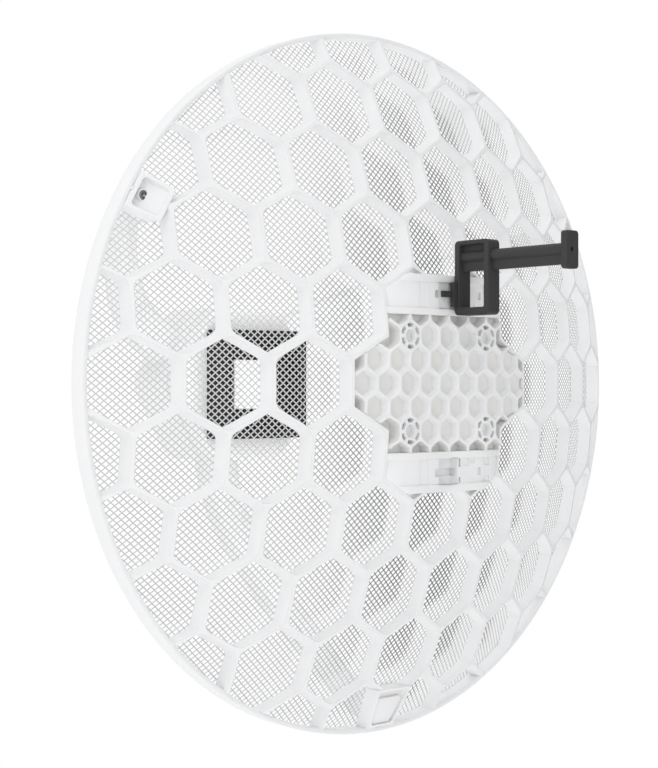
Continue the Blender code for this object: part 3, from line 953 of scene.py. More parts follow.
@dataclass
class PocketPlate:
    """The plate over the seven middle cells, with drafted pockets and four screw bosses.

    Attributes:
        dish: the shared sizes.
        rear: y of its rear face.
        thick: its thickness.
        drop: how far its two ends slope forwards.
        inset: how far it stays inside the cells' outline.
        edge: how far above and below the axis it reaches.
        wall: thickness between two pockets.
        corner: radius of a pocket's corners.
        soft: rounding of its edges.
        over: how far the tools reach behind it.
        shallow: depth and draft of a pocket in the middle rows.
        deep: depth and draft of a pocket at the edges.
        well: depth and draft of a pocket round a boss.
        ring: outer and inner radius of a boss.
        ring_floor: depth of the hole in a boss.
        bridge: half width of a bridge, its gap to the pocket's wall and how far it lies below the face.
        boss_soft: rounding of a boss.
        boss_sides: sides of a boss.
        floor_depths: range of depths in which a level face is a shallow pocket's floor.
        skin: depth from which a face is inside a pocket.
        slack: a small allowance round a pocket.
        spread: a pocket's reach to its corners by its reach to its sides.
    """

    dish: Dish
    rear: float = PLATE_REAR * MM
    thick: float = 8.2 * MM
    drop: float = 4.2 * MM
    inset: float = 1.2 * MM
    edge: float = 36.4 * MM
    wall: float = 1.5 * MM
    corner: float = 1.5 * MM
    soft: float = 0.35 * MM
    over: float = 1.2 * MM
    shallow: tuple = (4.5 * MM, 0.13)
    deep: tuple = (6.9 * MM, 0.02)
    well: tuple = (7.4 * MM, 0.0)
    ring: tuple = (4.7 * MM, 3.6 * MM)
    ring_floor: float = 3.4 * MM
    bridge: tuple = (1.0 * MM, 0.3 * MM, 0.15 * MM)
    boss_soft: float = 0.25 * MM
    boss_sides: int = 40
    floor_depths: tuple = (3.0 * MM, 6.3 * MM)
    skin: float = 0.5 * MM
    slack: float = 0.1 * MM
    spread: float = 1.16

    @property
    def pitch(self) -> float:
        """Distance between neighbouring pockets."""
        return self.dish.cell / 3

    @property
    def row(self) -> float:
        """Distance between rows of pockets."""
        return self.dish.row / 3

    @property
    def knee(self) -> float:
        """Where the plate's ends start to slope."""
        return 2.5 * self.pitch

    @property
    def apothem(self) -> float:
        """From a pocket's middle to its sides."""
        return (self.pitch - self.wall) / 2

    def surface(self, x: float) -> float:
        """y of the rear face at this x."""
        return self.rear - self.drop * max(0.0, abs(x) - self.knee) / (1.5 * self.dish.cell - self.knee)

    def body(self) -> bpy.types.Object:
        """The plate without its pockets.

        Returns:
            The plate.
        """
        side, half = self.dish.side, 1.5 * self.dish.cell
        lean = self.inset * math.tan(math.radians(30))
        shoulder, end = self.dish.cell - self.inset, half - self.inset
        right = [(shoulder, -self.edge), (shoulder, lean - side), (end, lean - side / 2),
                 (end, side / 2 - lean), (shoulder, side - lean), (shoulder, self.edge)]
        plate = Bench.sheet("pocket_plate", right + [(-x, z) for x, z in reversed(right)],
                            self.rear - self.thick - self.drop, self.rear + self.over)
        line = [(x, self.surface(x)) for x in (half, self.knee, -self.knee, -half)]
        profile = line + [(x, y - self.thick) for x, y in reversed(line)]
        Bench.carve(plate, Bench.upright("plate_limits", profile, -2 * self.edge, 2 * self.edge), "INTERSECT")
        return plate

    def pocket_tool(self, size: tuple) -> bpy.types.Object:
        """One hexagonal pocket with round corners, its mouth at y = 0.

        Args:
            size: its depth and the draft of its walls.

        Returns:
            The tool.
        """
        depth, draft = size
        tool = Bench.post("pocket_tool", self.apothem / math.cos(math.pi / 6), -depth, self.over, 6)
        for vert in tool.data.vertices:
            scale = 1 + draft * vert.co.y / self.apothem
            vert.co.x *= scale
            vert.co.z *= scale
        Bench.bevel_where(tool, self.corner, 3, Bench.spans("y", depth / 2))
        return tool

    def places(self) -> dict:
        """Places of the pockets.

        Returns:
            Lists of (x, z), by the size of pocket.
        """
        found = {self.shallow: [(col * self.pitch, 0.0) for col in range(-4, 5)],
                 self.deep: [], self.well: []}
        for side in (-1, 1):
            found[self.shallow] += [((col + 0.5) * self.pitch, side * self.row) for col in range(-4, 4)]
            found[self.shallow] += [(col * self.pitch, side * 2 * self.row) for col in range(-1, 2)]
            found[self.well] += [(col * self.pitch, side * 2 * self.row) for col in (-2, 2)]
            found[self.deep] += [((col + 0.5) * self.pitch, side * 3 * self.row) for col in range(-3, 3)]
            for hand in (-1, 1):
                found[self.deep] += [(hand * 4.5 * self.pitch, side * self.row),
                                     (hand * 3 * self.pitch, side * 2 * self.row)]
        return found

    def boss(self) -> bpy.types.Object:
        """A screw boss: a ring held by six bridges, its floor not far below.

        Returns:
            The boss, on the dish axis.
        """
        outer, inner = self.ring
        half, gap, sunk = self.bridge
        low = self.rear - self.well[0] + self.slack
        boss = Bench.post("boss", outer, low, self.rear, self.boss_sides)
        reach = self.pitch / 2 - gap
        for turn in range(3):
            bar = Bench.block("bridge", (-reach, low, -half), (reach, self.rear - sunk, half))
            bar.data.transform(Matrix.Rotation(math.radians(60 * turn), 4, "Y"))
            Bench.carve(boss, bar, "UNION")
        Bench.carve(boss, Bench.post("hole", inner, self.rear - self.ring_floor, self.rear + self.over,
                                     self.boss_sides))
        Bench.round_edges(boss, self.boss_soft, 2)
        return boss

    def shaded(self, spot: Vector, normal: Vector) -> bool:
        """Whether a face is a shallow pocket's floor or lies inside a deep pocket.

        Args:
            spot: the face's middle.
            normal: its normal.

        Returns:
            Whether it gets painted shade.
        """
        below = self.surface(spot.x) - spot.y
        if normal.y > 0.9 and self.floor_depths[0] < below < self.floor_depths[1]:
            return True
        if not self.skin < below < self.thick - self.skin or abs(spot.z) >= self.edge - self.slack:
            return False
        reach = (self.apothem + self.slack) * self.spread
        flat = Vector((spot.x, spot.z))
        return any((flat - Vector(place)).length < reach for place in self.places()[self.deep])

    def build(self, finishes: Finishes) -> None:
        """Cuts the pockets and sets the bosses.

        Args:
            finishes: the materials.
        """
        plate = self.body()
        tools = []
        for size, places in self.places().items():
            spots = [Vector((x, self.surface(x), z)) for x, z in places]
            tools += Bench.copies(self.pocket_tool(size), spots)
        Bench.carve(plate, Bench.join("pockets", tools))
        Bench.round_edges(plate, self.soft, 2)
        bosses = Bench.copies(self.boss(), [Vector((x, 0.0, z)) for x, z in self.places()[self.well]])
        plate = Bench.join("pocket_plate", [plate, *bosses])
        # Faces of shallow pocket floors and faces inside deep pockets get painted shade.
        painted_shade_faces = [face.index for face in plate.data.polygons if self.shaded(face.center, face.normal)]
        nodes = ("mount_plate", *(f"screw_boss_{n}" for n in range(1, 5)))
        finishes.finish_piece(plate, Slot.WHITE, *nodes, angle=30.0)
        finishes.shade_faces(plate, painted_shade_faces)


@dataclass
class Saddle:
    """A seat for the pole: two flanges, a lug at each side of a trough, and a slot for a hose clamp.

    Profiles and notches are in millimetres. The profiles run from +X to -X, and every z is a height above
    the axis, or below it for the lower saddle.

    Attributes:
        dish: the shared sizes.
        name: upper or lower.
        side: 1 above the axis, -1 below it.
        floor: y of the trough's floor.
        trough: x of the trough's left side.
        lip: y of the left lug beside the trough.
        inset: how far the saddle stays inside the cells' outline, in metres.
        flanges: heights of the inner flange's two sides, then of the outer flange's.
        front: y of its front face.
        block: y up to which the uncut block reaches.
        above: y behind every rear face.
        rim: rear profile of the flanges, from one end to the middle.
        left: rear profile of the left lug.
        right: rear profile of the right lug, from the trough's right side.
        slot: heights of the clamp's slot.
        soft: rounding of the edges, in metres.
    """

    dish: Dish
    name: str
    side: int
    floor: float
    trough: float = 7.1
    lip: float = 54.8
    inset: float = 0.9 * MM
    flanges: tuple = (36.5, 40.1, 54.0, 58.1)
    front: float = 45.7
    block: float = 60.0
    above: float = 62.0
    rim: tuple = ((45.0, 51.6), (36.0, 53.6), (29.0, 55.2), (24.0, 55.4), (10.5, 55.4), (7.0, 55.0),
                  (3.5, 54.6), (0.0, 54.5))
    left: tuple = ((45.0, 49.8), (43.0, 50.4), (38.0, 52.0), (33.0, 53.3), (26.0, 54.4), (18.0, 54.9))
    right: tuple = ((-7.5, 54.9), (-26.2, 54.4), (-26.2, 53.2), (-29.0, 53.2), (-29.0, 54.1), (-38.5, 52.9),
                    (-43.0, 50.6), (-45.0, 50.0))
    slot: tuple = (45.8, 49.8)
    soft: float = 0.45 * MM

    def level(self, low: float, high: float) -> tuple:
        """A range of heights in metres, mirrored for the lower saddle."""
        return tuple(sorted((self.side * low * MM, self.side * high * MM)))

    def profile(self, points: list) -> list:
        """Points in metres."""
        return [(x * MM, y * MM) for x, y in points]

    def notches(self) -> dict:
        """The boxes that are cut out of the lugs and the trough.

        Returns:
            Ranges of x, y and height in millimetres, by the notch's name.
        """
        _, low, high, _ = self.flanges
        trough, floor, above, slot = self.trough, self.floor, self.above, self.slot
        return {
            "slot_in_left_lug": ((trough - 1, trough + 3), (51.4, above), slot),
            "slot_in_trough": ((-8.6, trough + 1), (floor - 1.2, 52.3), slot),
            "slot_in_right_lug": ((-25.6, -23.2), (53.2, above), slot),
            "inner_step": ((-20.4, -17.0), (54.1, above), (low + 0.6, 43.2)),
            "inner_end_pocket": ((-33.0, -29.4), (53.0, above), (low + 0.6, 44.6)),
            "outer_end_pocket": ((-33.0, -29.4), (53.0, above), (50.4, high - 0.6)),
            "window": ((-15.8, -11.3), (53.9, above), (40.4, 44.6)),
            "left_band": ((15.4, 21.6), (54.4, above), (low + 0.4, high - 0.4)),
            "inner_groove": ((-9.3, -8.0), (50.0, above), (40.6, 45.0)),
            "outer_groove": ((-9.3, -8.0), (50.0, above), (50.6, 53.6)),
        }

    def build(self, finishes: Finishes) -> None:
        """Shapes the block, then cuts the valley between the flanges and its notches.

        Args:
            finishes: the materials.
        """
        inner, inner_top, outer_low, outer = self.flanges
        edge = self.dish.cell - self.inset
        corner = 2 * self.dish.side - self.inset * math.tan(math.radians(30))
        reach = edge - (outer * MM - corner) * math.tan(math.radians(60))
        half = [(edge, inner * MM), (edge, corner), (reach, outer * MM)]
        outline = [(x, self.side * z) for x, z in half + [(-x, z) for x, z in reversed(half)]]
        saddle = Bench.sheet(f"{self.name}_saddle", outline, self.front * MM, self.block * MM)
        end, trough_right = self.rim[0][0], self.right[0][0]
        rim = [*self.rim, *((-x, y) for x, y in reversed(self.rim[:-1]))]
        limits = self.profile([*rim, (-end, self.front - 1), (end, self.front - 1)])
        Bench.carve(saddle, Bench.upright("limits", limits, *self.level(inner - 1, outer + 1)), "INTERSECT")
        valley = self.profile([*self.left, (self.trough, self.lip), (self.trough, self.floor),
                               (trough_right, self.floor), *self.right,
                               (-end, self.above), (end, self.above)])
        Bench.carve(saddle, Bench.upright("valley", valley, *self.level(inner_top, outer_low)))
        Bench.round_edges(saddle, self.soft)
        for name, (across, depth, heights) in self.notches().items():
            low, high = self.level(*heights)
            start, stop = self.profile(zip(across, depth))
            Bench.carve(saddle, Bench.block(name, (*start, low), (*stop, high)))
        nodes = (f"{self.name}_channel", f"{self.name}_left_lug", f"{self.name}_right_lug")
        finishes.finish_piece(saddle, Slot.WHITE, *nodes, angle=30.0)


@dataclass
class Socket:
    """An arm's pocket at the rim, its rear face level with the ribs, with a recess.

    Attributes:
        dish: the shared sizes.
        name: left, right or bottom.
        angle: its place round the dish in degrees.
        inner: radius and half width of its inner end.
        outer: radius and half width of its outer end.
        front: y of its front at the inner end.
        front_outer: y of its front at the outer end.
        wall: how thick it is round the recess.
        floor: y of the recess at its inner end and at its outer end.
        corner: radius of the recess's corners.
        soft: rounding of its edges.
        clear: how much wider the room in the ribs is than the socket.
        past: how far a tool reaches past the face that it opens.
        sides: sides of the screw and its boss.
        screw_at: radius at which the screw is.
        screw_top: y of the screw's top.
        head: radius of the screw's head and y of its front.
        head_soft: rounding of the head.
        cross: half length, half width and depth of an arm of the cross recess.
        boss: radius of the boss, y of its front and how far it ends below the screw's top.
        bore: radius of the boss's bore and y of its floor.
        foot_outline: corners of the arm's foot as (radius, across), in millimetres.
        foot_span: y of the foot's front, and a y between that and its rear.
        foot_drop: how far the foot's rear lies below the ribs' rear edges.
        foot_corner: radius of the foot's inner corners, and the radius from the axis up to which they lie.
        foot_soft: rounding of the foot's edges.
    """

    dish: Dish
    name: str
    angle: float
    inner: tuple = (176.0 * MM, 9.4 * MM)
    outer: tuple = (192.8 * MM, 10.4 * MM)
    front: float = -8.5 * MM
    front_outer: float = -8.5 * MM
    wall: float = 1.9 * MM
    floor: tuple = (8.3 * MM, -3.2 * MM)
    corner: float = 2.0 * MM
    soft: float = 0.5 * MM
    clear: float = 0.05 * MM
    past: float = 1.0 * MM
    sides: int = 32
    screw_at: float = 186.2 * MM
    screw_top: float = 2.0 * MM
    head: tuple = (2.35 * MM, -1.0 * MM)
    head_soft: float = 0.4 * MM
    cross: tuple = (1.5 * MM, 0.35 * MM, 0.9 * MM)
    boss: tuple = (3.3 * MM, -3.0 * MM, 0.3 * MM)
    bore: tuple = (2.6 * MM, -0.5 * MM)
    foot_outline: tuple = ((174.6, -9.2), (190.9, -6.8), (190.9, 7.9), (174.6, 9.6))
    foot_span: tuple = (-4.0 * MM, 2.0 * MM)
    foot_drop: float = 1.2 * MM
    foot_corner: tuple = (3.5 * MM, 180.0 * MM)
    foot_soft: float = 0.9 * MM

    def shape(self, name: str, inset: float, low: tuple, high: tuple) -> bpy.types.Object:
        """A trapezoid on the radius of the socket.

        Args:
            name: the object's name.
            inset: how far it stays inside the socket's outline.
            low: y of its front at the inner end and the outer end.
            high: y of its rear at the inner end and the outer end.

        Returns:
            The object, not yet turned to its place.
        """
        (r_in, half_in), (r_out, half_out) = self.inner, self.outer
        r_in, half_in, r_out, half_out = r_in + inset, half_in - inset, r_out - inset, half_out - inset
        outline = [(r_in, -half_in), (r_out, -half_out), (r_out, half_out), (r_in, half_in)]
        obj = Bench.sheet(name, outline, 0.0, 1.0)
        for vert in obj.data.vertices:
            pair = high if vert.co.y > 0.5 else low
            vert.co.y = pair[0] if vert.co.x < (r_in + r_out) / 2 else pair[1]
        return obj

    def turn(self, obj: bpy.types.Object) -> bpy.types.Object:
        """Turns an object from the +X radius to the socket's place."""
        obj.data.transform(Matrix.Rotation(math.radians(-self.angle), 4, "Y"))
        return obj

    def rear(self, beyond: float = 0.0) -> tuple:
        """y of the rear face at the inner end and the outer end, or of a plane beyond it."""
        return tuple(self.dish.dome(radius) + beyond for radius, _ in (self.inner, self.outer))

    def room(self) -> bpy.types.Object:
        """The socket's place in the ribs, open behind it."""
        return self.turn(self.shape("room", -self.clear, (self.front, self.front_outer), self.rear(2 * MM)))

    def screw(self, finishes: Finishes) -> None:
        """A pan head with a cross recess.

        Args:
            finishes: the materials.
        """
        radius, front = self.head
        long, short, deep = self.cross
        head = Bench.post(f"socket_screw_{self.name}", radius, front, self.screw_top, self.sides,
                          (self.screw_at, 0.0))
        Bench.round_edges(head, self.head_soft)
        for across, up in ((long, short), (short, long)):
            Bench.carve(head, Bench.block("cross", (self.screw_at - across, self.screw_top - deep, -up),
                                          (self.screw_at + across, self.screw_top + self.past, up)))
        finishes.finish_piece(self.turn(head), Slot.STEEL, f"arm_screw_{self.name}")

    def screw_boss(self) -> bpy.types.Object:
        """The boss that the screw sits in.

        Returns:
            The boss, on the +X radius.
        """
        radius, front, below = self.boss
        axis = (self.screw_at, 0.0)
        boss = Bench.post("boss", radius, front, self.screw_top - below, self.sides, axis)
        radius, front = self.bore
        Bench.carve(boss, Bench.post("bore", radius, front, self.screw_top + self.past, self.sides, axis))
        return boss

    def foot(self) -> bpy.types.Object:
        """The end of the arm in the lower socket, a little below the socket's rear face.

        Returns:
            The foot, on the +X radius.
        """
        foot = Bench.sheet("foot", [(r * MM, t * MM) for r, t in self.foot_outline], *self.foot_span)
        for vert in foot.data.vertices:
            if vert.co.y > 0:
                vert.co.y = self.dish.dome(vert.co.x) - self.foot_drop
        corner, inner_end = self.foot_corner
        upright = Bench.spans("y", 5 * MM)
        Bench.bevel_where(foot, corner, 5, lambda a, b: upright(a, b) and a.x < inner_end)
        Bench.round_edges(foot, self.foot_soft)
        return foot

    def build(self, finishes: Finishes) -> None:
        """Cuts the recess and adds the screw boss, or the arm's foot in the lower socket.

        Args:
            finishes: the materials.
        """
        body = self.shape(f"rim_socket_{self.name}", 0.0, (self.front, self.front_outer), self.rear())
        tool = self.shape("recess", self.wall, self.floor, self.rear(6 * MM))
        Bench.bevel_where(tool, self.corner, 4, Bench.spans("y", 5 * MM))
        Bench.carve(body, tool)
        Bench.round_edges(body, self.soft)
        # In the lower socket the recess floor gets painted shade.
        sunk = []
        if self.name == "bottom":
            sunk = [face.index for face in body.data.polygons
                    if face.normal.y > 0.7 and self.dish.dome(face.center.x) - face.center.y > 2 * MM]
            body = Bench.join(body.name, [body, self.foot()])
        else:
            body = Bench.join(body.name, [body, self.screw_boss()])
            self.screw(finishes)
        finishes.finish_piece(self.turn(body), Slot.WHITE, f"arm_pocket_{self.name}", angle=30.0)
        if sunk:
            finishes.shade_faces(body, sunk)


# Feed and arms


@dataclass
class FeedArms:
    """Curved arms of rounded section from the rim to the feed.

    Attributes:
        dish: the shared sizes.
        path: points of the middle line as (radius, y), in millimetres.
        foot: width and depth at the rim, in millimetres.
        root: width and depth at the feed, in millimetres.
        even: share of the length over which the section stays that of the foot.
        square: how square the section is, 2 being round.
        sides: sides of the section.
        rings: cuts along the arm.
    """

    dish: Dish
    path: tuple = ((185.0, -3.6), (185.0, -7.5), (184.0, -12.6), (178.0, -24.0), (166.0, -41.0),
                   (150.0, -64.0), (132.0, -88.0), (109.0, -114.0), (86.0, -135.0), (64.0, -147.0),
                   (45.5, -150.5))
    foot: tuple = (14.0, 8.5)
    root: tuple = (26.0, 20.0)
    even: float = 0.15
    square: int = 4
    sides: int = 24
    rings: int = 40

    def station(self, share: float) -> tuple:
        """The middle line at a share of its length.

        Args:
            share: from 0 at the foot to 1 at the feed.

        Returns:
            The point and the direction, both in (radius, y).
        """
        last = len(self.path) - 1
        spot = share * last
        index = min(int(spot), last - 1)
        t = spot - index
        a, b, c, d = (Vector(self.path[max(0, min(last, index + k))]) for k in (-1, 0, 1, 2))
        here = 0.5 * (2 * b + (c - a) * t + (2 * a - 5 * b + 4 * c - d) * t * t
                      + (3 * b - 3 * c + d - a) * t ** 3)
        along = 0.5 * ((c - a) + 2 * (2 * a - 5 * b + 4 * c - d) * t + 3 * (3 * b - 3 * c + d - a) * t * t)
        return here, along.normalized()

    def arm(self) -> bpy.types.Object:
        """One arm, drawn out of a cylinder.

        Returns:
            The arm, on the +X radius.
        """
        Bench.clear()
        bpy.ops.mesh.primitive_cylinder_add(vertices=self.sides, radius=1.0, depth=1.0, location=(0, 0, 0.5))
        arm = bpy.context.object
        Bench.freeze(arm)
        Bench.subdivide_where(arm, self.rings, Bench.spans("z", 0.5))
        for vert in arm.data.vertices:
            turn, share = math.atan2(vert.co.y, vert.co.x), vert.co.z
            (radius, y), along = self.station(share)
            grown = max(0.0, share - self.even) / (1 - self.even)
            width = self.foot[0] + (self.root[0] - self.foot[0]) * grown
            depth = self.foot[1] + (self.root[1] - self.foot[1]) * grown
            side, up = math.cos(turn), math.sin(turn)
            full = (abs(side) ** self.square + abs(up) ** self.square) ** (-1 / self.square)
            u, v = side * full * width / 2, up * full * depth / 2
            vert.co = Vector((radius - v * along.y, y + v * along.x, u)) * MM
        Bench.outward(arm)
        return arm

    def build(self, finishes: Finishes) -> None:
        """Turns a copy of the arm to each pocket.

        Args:
            finishes: the materials.
        """
        twins = Bench.copies(self.arm(), [Vector()] * len(self.dish.arm_angles))
        for twin, name, angle in zip(twins, ("left", "right", "bottom"), self.dish.arm_angles):
            twin.data.transform(Matrix.Rotation(math.radians(-angle), 4, "Y"))
            twin.name = f"curved_arm_{name}"
            finishes.finish_piece(twin, Slot.WHITE, f"feed_arm_{name}", angle=40.0)


@dataclass
class Feed:
    """The feed's two housing shells.

    Attributes:
        flat: from the axis to a side of the cover.
        corner: radius of the upright corners.
        front: y of the cover's front.
        joint: y of the joint between the shells.
        back: y of the rear shell's rear.
        gap: width of the joint.
        step: how far the rear shell stays inside the cover's outline.
        cover_soft: rounding of the cover's rims and its faces.
        shell_soft: rounding of the rear shell's rims and its faces.
    """

    flat: float = 47.0 * MM
    corner: float = 14.0 * MM
    front: float = -168.0 * MM
    joint: float = -132.0 * MM
    back: float = -116.6 * MM
    gap: float = 0.35 * MM
    step: float = 0.4 * MM
    cover_soft: tuple = (3.5 * MM, 6)
    shell_soft: tuple = (1.6 * MM, 4)

    def shell(self, name: str, y_low: float, y_high: float, apothem: float, soft: tuple) -> bpy.types.Object:
        """A hexagonal block with round upright corners and soft rims.

        Args:
            name: the object's name.
            y_low: its front.
            y_high: its rear.
            apothem: from its axis to its sides.
            soft: rounding of its rims and how many faces round it.

        Returns:
            The shell.
        """
        shell = Bench.post(name, apothem / math.cos(math.pi / 6), y_low, y_high, 6, turn=math.radians(30))
        Bench.bevel_where(shell, self.corner * math.tan(math.pi / 6), 10, Bench.spans("y", 1 * MM))
        Bench.round_edges(shell, *soft)
        return shell

    def build(self, finishes: Finishes) -> None:
        """Builds the front cover and the rear shell.

        Args:
            finishes: the materials.
        """
        front = self.shell("feed_cover", self.front, self.joint - self.gap, self.flat, self.cover_soft)
        finishes.finish_piece(front, Slot.WHITE, "feed_housing_front", angle=30.0)
        rear = self.shell("feed_shell", self.joint, self.back, self.flat - self.step, self.shell_soft)
        finishes.finish_piece(rear, Slot.WHITE, "feed_housing_rear", angle=30.0)


# Alignment sight


@dataclass
class Sight:
    """The plug-in sight's frame, bar and eye plate.

    Attributes:
        near: x of the frame's left side.
        far: x of its right side.
        frame_y: y of its front and rear.
        frame_z: z of its foot and top.
        wall: thickness of its uprights.
        sill: thickness of its foot.
        head: thickness of its top.
        corner: radius of its corners.
        gap_corner: radius of the window's corners.
        bar_z: height of the bar.
        bar_radius: radius of the bar.
        bar_sides: sides of the bar.
        web: width of the bar's web and z of its lower edge.
        overlap: how far the bar reaches into the pieces that hold it.
        eye_x: x of the eye plate's sides.
        eye_y: y of its front and rear.
        eye_z: z of its foot and top.
        eye_corner: radius of its corners.
        eye_hole: radius of the hole to look through.
        eye_drop: how far the hole lies below the bar's axis.
        soft: rounding of the frame and of the eye plate.
        sharp: the angle in degrees from which an edge is rounded.
    """

    near: float = -3.6 * MM
    far: float = -12.7 * MM
    frame_y: tuple = (55.75 * MM, 80.4 * MM)
    frame_z: tuple = (36.6 * MM, 76.6 * MM)
    wall: float = 3.4 * MM
    sill: float = 4.1 * MM
    head: float = 2.3 * MM
    corner: float = 2.6 * MM
    gap_corner: float = 0.9 * MM
    bar_z: float = 68.0 * MM
    bar_radius: float = 3.15 * MM
    bar_sides: int = 40
    web: tuple = (2.6 * MM, 60.2 * MM)
    overlap: float = 0.1 * MM
    eye_x: tuple = (-12.9 * MM, -3.3 * MM)
    eye_y: tuple = (130.2 * MM, 134.0 * MM)
    eye_z: tuple = (57.8 * MM, 77.1 * MM)
    eye_corner: float = 1.8 * MM
    eye_hole: float = 1.1 * MM
    eye_drop: float = 0.3 * MM
    soft: tuple = (0.5 * MM, 0.45 * MM)
    sharp: float = 50.0

    @property
    def middle(self) -> float:
        """x of the sight's middle."""
        return (self.near + self.far) / 2

    @property
    def inner_top(self) -> tuple:
        """(y, z) of the window's rear upper corner."""
        return self.frame_y[1] - self.wall, self.frame_z[1] - self.head

    def build_frame(self, finishes: Finishes) -> None:
        """The upright frame, open through its side.

        Args:
            finishes: the materials.
        """
        block = Bench.block("sight_ring", (self.far, self.frame_y[0], self.frame_z[0]),
                            (self.near, self.frame_y[1], self.frame_z[1]))
        Bench.bevel_where(block, self.corner, 5, Bench.spans("x", 5 * MM))
        low, high = (self.frame_y[0] + self.wall, self.frame_z[0] + self.sill), self.inner_top
        tool = Bench.block("sight_gap", (self.far - OVERCUT, *low), (self.near + OVERCUT, *high))
        Bench.bevel_where(tool, self.gap_corner, 3, Bench.spans("x", 5 * MM))
        Bench.carve(block, tool)
        Bench.round_edges(block, self.soft[0], angle=self.sharp)
        finishes.finish_piece(block, Slot.GRAPHITE, "sight_frame")

    def bar(self, name: str, y_low: float, y_high: float, top: float) -> bpy.types.Object:
        """A round bar on its web, which may also reach above it.

        Args:
            name: the object's name.
            y_low: its front.
            y_high: its rear.
            top: z of the web's upper edge.

        Returns:
            The bar.
        """
        width, foot = self.web
        tube = Bench.post(name, self.bar_radius, y_low - self.overlap, y_high + self.overlap, self.bar_sides,
                          (self.middle, self.bar_z))
        web = Bench.block("web", (self.middle - width / 2, y_low - self.overlap, foot),
                          (self.middle + width / 2, y_high + self.overlap, top))
        Bench.carve(tube, web, "UNION")
        return tube

    def build_eye(self, finishes: Finishes) -> None:
        """The plate with the hole to look through.

        Args:
            finishes: the materials.
        """
        plate = Bench.block("sight_eye", *zip(self.eye_x, self.eye_y, self.eye_z))
        Bench.bevel_where(plate, self.eye_corner, 5, Bench.spans("y", 2 * MM))
        Bench.carve(plate, Bench.post("eye_tool", self.eye_hole, self.eye_y[0] - OVERCUT,
                                      self.eye_y[1] + OVERCUT, 24, (self.middle, self.bar_z - self.eye_drop)))
        Bench.round_edges(plate, self.soft[1], angle=self.sharp)
        finishes.finish_piece(plate, Slot.GRAPHITE, "eye_plate")

    def build(self, finishes: Finishes) -> None:
        """Builds every piece of the sight.

        Args:
            finishes: the materials.
        """
        self.build_frame(finishes)
        inner = self.bar("sight_bar_inner", self.frame_y[0] + self.wall, self.inner_top[0],
                         self.inner_top[1] + self.overlap)
        finishes.finish_piece(inner, Slot.GRAPHITE, "sight_bar_front")
        outer = self.bar("sight_bar_outer", self.frame_y[1], self.eye_y[0], self.bar_z)
        finishes.finish_piece(outer, Slot.GRAPHITE, "sight_bar")
        self.build_eye(finishes)


# Dressing of the CAD nodes, studio and camera


def dress_nodes(finishes: Finishes) -> None:
    """Gives each CAD node that still shows the finish of its slot.

    Args:
        finishes: the materials.
    """
    slots = {entry["node"]: Slot(entry["material_slot"]) for entry in frame["record"]["subparts"]}
    for name, slot in slots.items():
        finishes.dress(frame["nodes"][name], slot)


@dataclass(frozen=True)
class Lamp:
    """A square lamp that faces a target and isn't seen itself."""

    name: str
    place: tuple
    power: float
    size: float
    target: tuple = (0.0, 0.0, 0.0)

    def hang(self) -> None:
        """Adds the lamp to the scene."""
        data = bpy.data.lights.new(self.name, "AREA")
        data.energy = self.power
        data.size = self.size
        lamp = bpy.data.objects.new(self.name, data)
        lamp.location = self.place
        lamp.rotation_euler = (Vector(self.target) - Vector(self.place)).to_track_quat("-Z", "Y").to_euler()
        lamp.visible_camera = False
        lamp.visible_glossy = False
        bpy.context.collection.objects.link(lamp)


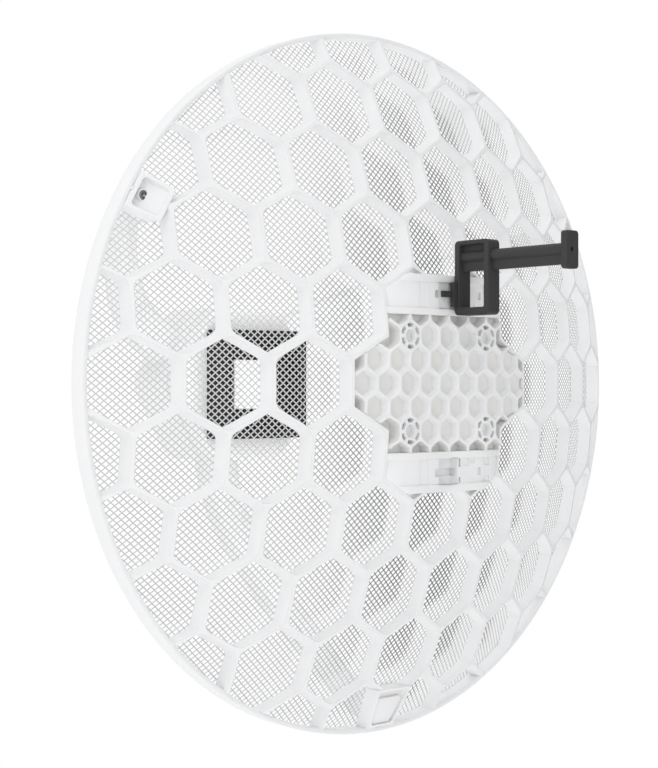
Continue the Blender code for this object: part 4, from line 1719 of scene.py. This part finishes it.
@dataclass
class Studio:
    """White surroundings, soft light and the camera.

    Attributes:
        shown: how bright the camera sees the surroundings.
        ambient: strength of the light from most sides.
        shade: strength of the light from the darker side.
        shade_from: the cosine to the brighter side at which the light starts to fade.
        shade_to: the cosine at which it has faded.
        lit_side: direction of the brighter side.
        overhead: how much stronger the light is from above.
        floor_drop: how far the floor lies below the dish axis.
        floor_size: its length and width.
        floor_grey: its colour and its roughness.
        floor_glow: its own light, as a share of the ambient light.
        camera_at: the camera's place.
        camera_axis: the direction that it looks in.
        lens: its focal length in millimetres.
        lamps: the lamps. The last one lights the feed from inside the bowl.
    """

    shown: float = 1.0
    ambient: float = 0.87
    shade: float = 0.06
    shade_from: float = -0.55
    shade_to: float = -0.90
    lit_side: tuple = (0.9, -0.43, 0.0)
    overhead: float = 0.10
    floor_drop: float = 0.26
    floor_size: float = 8.0
    floor_grey: float = 0.9
    floor_glow: float = 0.25
    camera_at: tuple = (0.6124, 0.5955, -0.0114)
    camera_axis: tuple = (-0.6620, -0.7495, 0.0033)
    lens: float = 74.34
    lamps: tuple = (Lamp("key", (1.2, 0.6, 1.8), 6.0, 1.2), Lamp("fill", (-0.4, 1.8, 0.6), 0.6, 1.2),
                    Lamp("bowl", (0.0, -0.035, -0.008), 0.12, 0.16, (0.0, -0.2, -0.008)))

    def backdrop(self) -> None:
        """A world that the camera sees as white, and that lights more gently."""
        world = bpy.data.worlds.new("studio")
        bpy.context.scene.world = world
        world.use_nodes = True
        tree = Tree(world.node_tree)
        light = tree.nodes["Background"]
        tree.feed(light.inputs["Color"], WHITE)
        tree.feed(light.inputs["Strength"], self.gradient(tree))
        seen = tree.add("ShaderNodeBackground", {}, {"Color": WHITE, "Strength": self.shown})
        self.split(tree, light.outputs[0], seen, tree.nodes["World Output"].inputs["Surface"])
        bpy.context.scene.view_settings.view_transform = "Standard"

    def gradient(self, tree: Tree) -> bpy.types.NodeSocket:
        """Light from all round, stronger from above and weaker from the right behind the dish.

        Args:
            tree: the world's node tree.

        Returns:
            The light's strength.
        """
        way = tree.add("ShaderNodeTexCoord", {}, {}, "Generated")
        height = tree.add("ShaderNodeSeparateXYZ", {}, {0: way}, "Z")
        across = tree.add("ShaderNodeVectorMath", {"operation": "DOT_PRODUCT"},
                          {0: way, 1: self.lit_side}, "Value")
        fade = tree.add("ShaderNodeMapRange", {"interpolation_type": "SMOOTHSTEP"}, {
            "Value": across, "From Min": self.shade_to, "From Max": self.shade_from,
            "To Min": self.shade, "To Max": self.ambient}, "Result")
        return tree.add("ShaderNodeMath", {"operation": "MULTIPLY_ADD"},
                        {0: height, 1: self.overhead, 2: fade})

    def split(self, tree: Tree, lit: bpy.types.NodeSocket, seen: bpy.types.NodeSocket,
              target: bpy.types.NodeSocket) -> None:
        """Shows one shader to the camera and lights the scene with the other.

        Args:
            tree: the node tree of both.
            lit: the shader that other rays meet.
            seen: the shader that the camera sees.
            target: the output's surface socket.
        """
        rays = tree.add("ShaderNodeLightPath", {}, {}, "Is Camera Ray")
        tree.feed(target, tree.add("ShaderNodeMixShader", {}, {0: rays, 1: lit, 2: seen}))

    def floor(self) -> None:
        """A pale floor well below the dish."""
        Bench.clear()
        bpy.ops.mesh.primitive_plane_add(size=self.floor_size, location=(0, 0, SETTLE.z - self.floor_drop))
        floor = bpy.context.object
        floor.name = "studio_floor"
        graph = Graph("pale_floor")
        graph.set(Base_Color=(*[self.floor_grey] * 3, 1.0), Roughness=self.floor_grey, Emission_Color=WHITE,
                  Emission_Strength=self.floor_glow * self.ambient)
        seen = graph.add("ShaderNodeEmission", {}, {"Strength": self.shown})
        self.split(graph, graph.shader.outputs[0], seen, graph.nodes["Material Output"].inputs["Surface"])
        floor.data.materials.append(graph.material)
        floor.visible_glossy = False

    def camera(self) -> None:
        """The photograph's viewpoint."""
        data = bpy.data.cameras.new("viewpoint")
        data.lens = self.lens
        data.sensor_width = 36.0
        data.clip_start = 0.01
        camera = bpy.data.objects.new("viewpoint", data)
        camera.location = self.camera_at
        camera.rotation_euler = Vector(self.camera_axis).to_track_quat("-Z", "Y").to_euler()
        bpy.context.collection.objects.link(camera)
        bpy.context.scene.camera = camera

    def build(self) -> None:
        """Sets up the studio."""
        self.backdrop()
        self.floor()
        for lamp in self.lamps:
            lamp.hang()
        self.camera()


def main() -> None:
    """Builds and dresses the antenna."""
    logging.basicConfig(level=logging.INFO, format="%(name)s: %(message)s")
    finishes = Finishes()
    dress_nodes(finishes)
    dish = Dish()
    left, right, bottom = dish.arm_angles
    sockets = [Socket(dish, "left", left), Socket(dish, "right", right),
               Socket(dish, "bottom", bottom, inner=(169.0 * MM, 13.0 * MM), outer=(192.8 * MM, 9.8 * MM),
                      front=-2.0 * MM, floor=(10.6 * MM, -1.2 * MM))]
    saddles = [Saddle(dish, "upper", 1, floor=53.6), Saddle(dish, "lower", -1, floor=49.4)]
    assemblies = [RibLattice(dish, sockets), WireGrid(dish), Rim(dish), PocketPlate(dish), *saddles,
                  *sockets, FeedArms(dish), Feed(), Sight()]
    for assembly in assemblies:
        assembly.build(finishes)
    Studio().build()


if __name__ == "__main__":
    main()
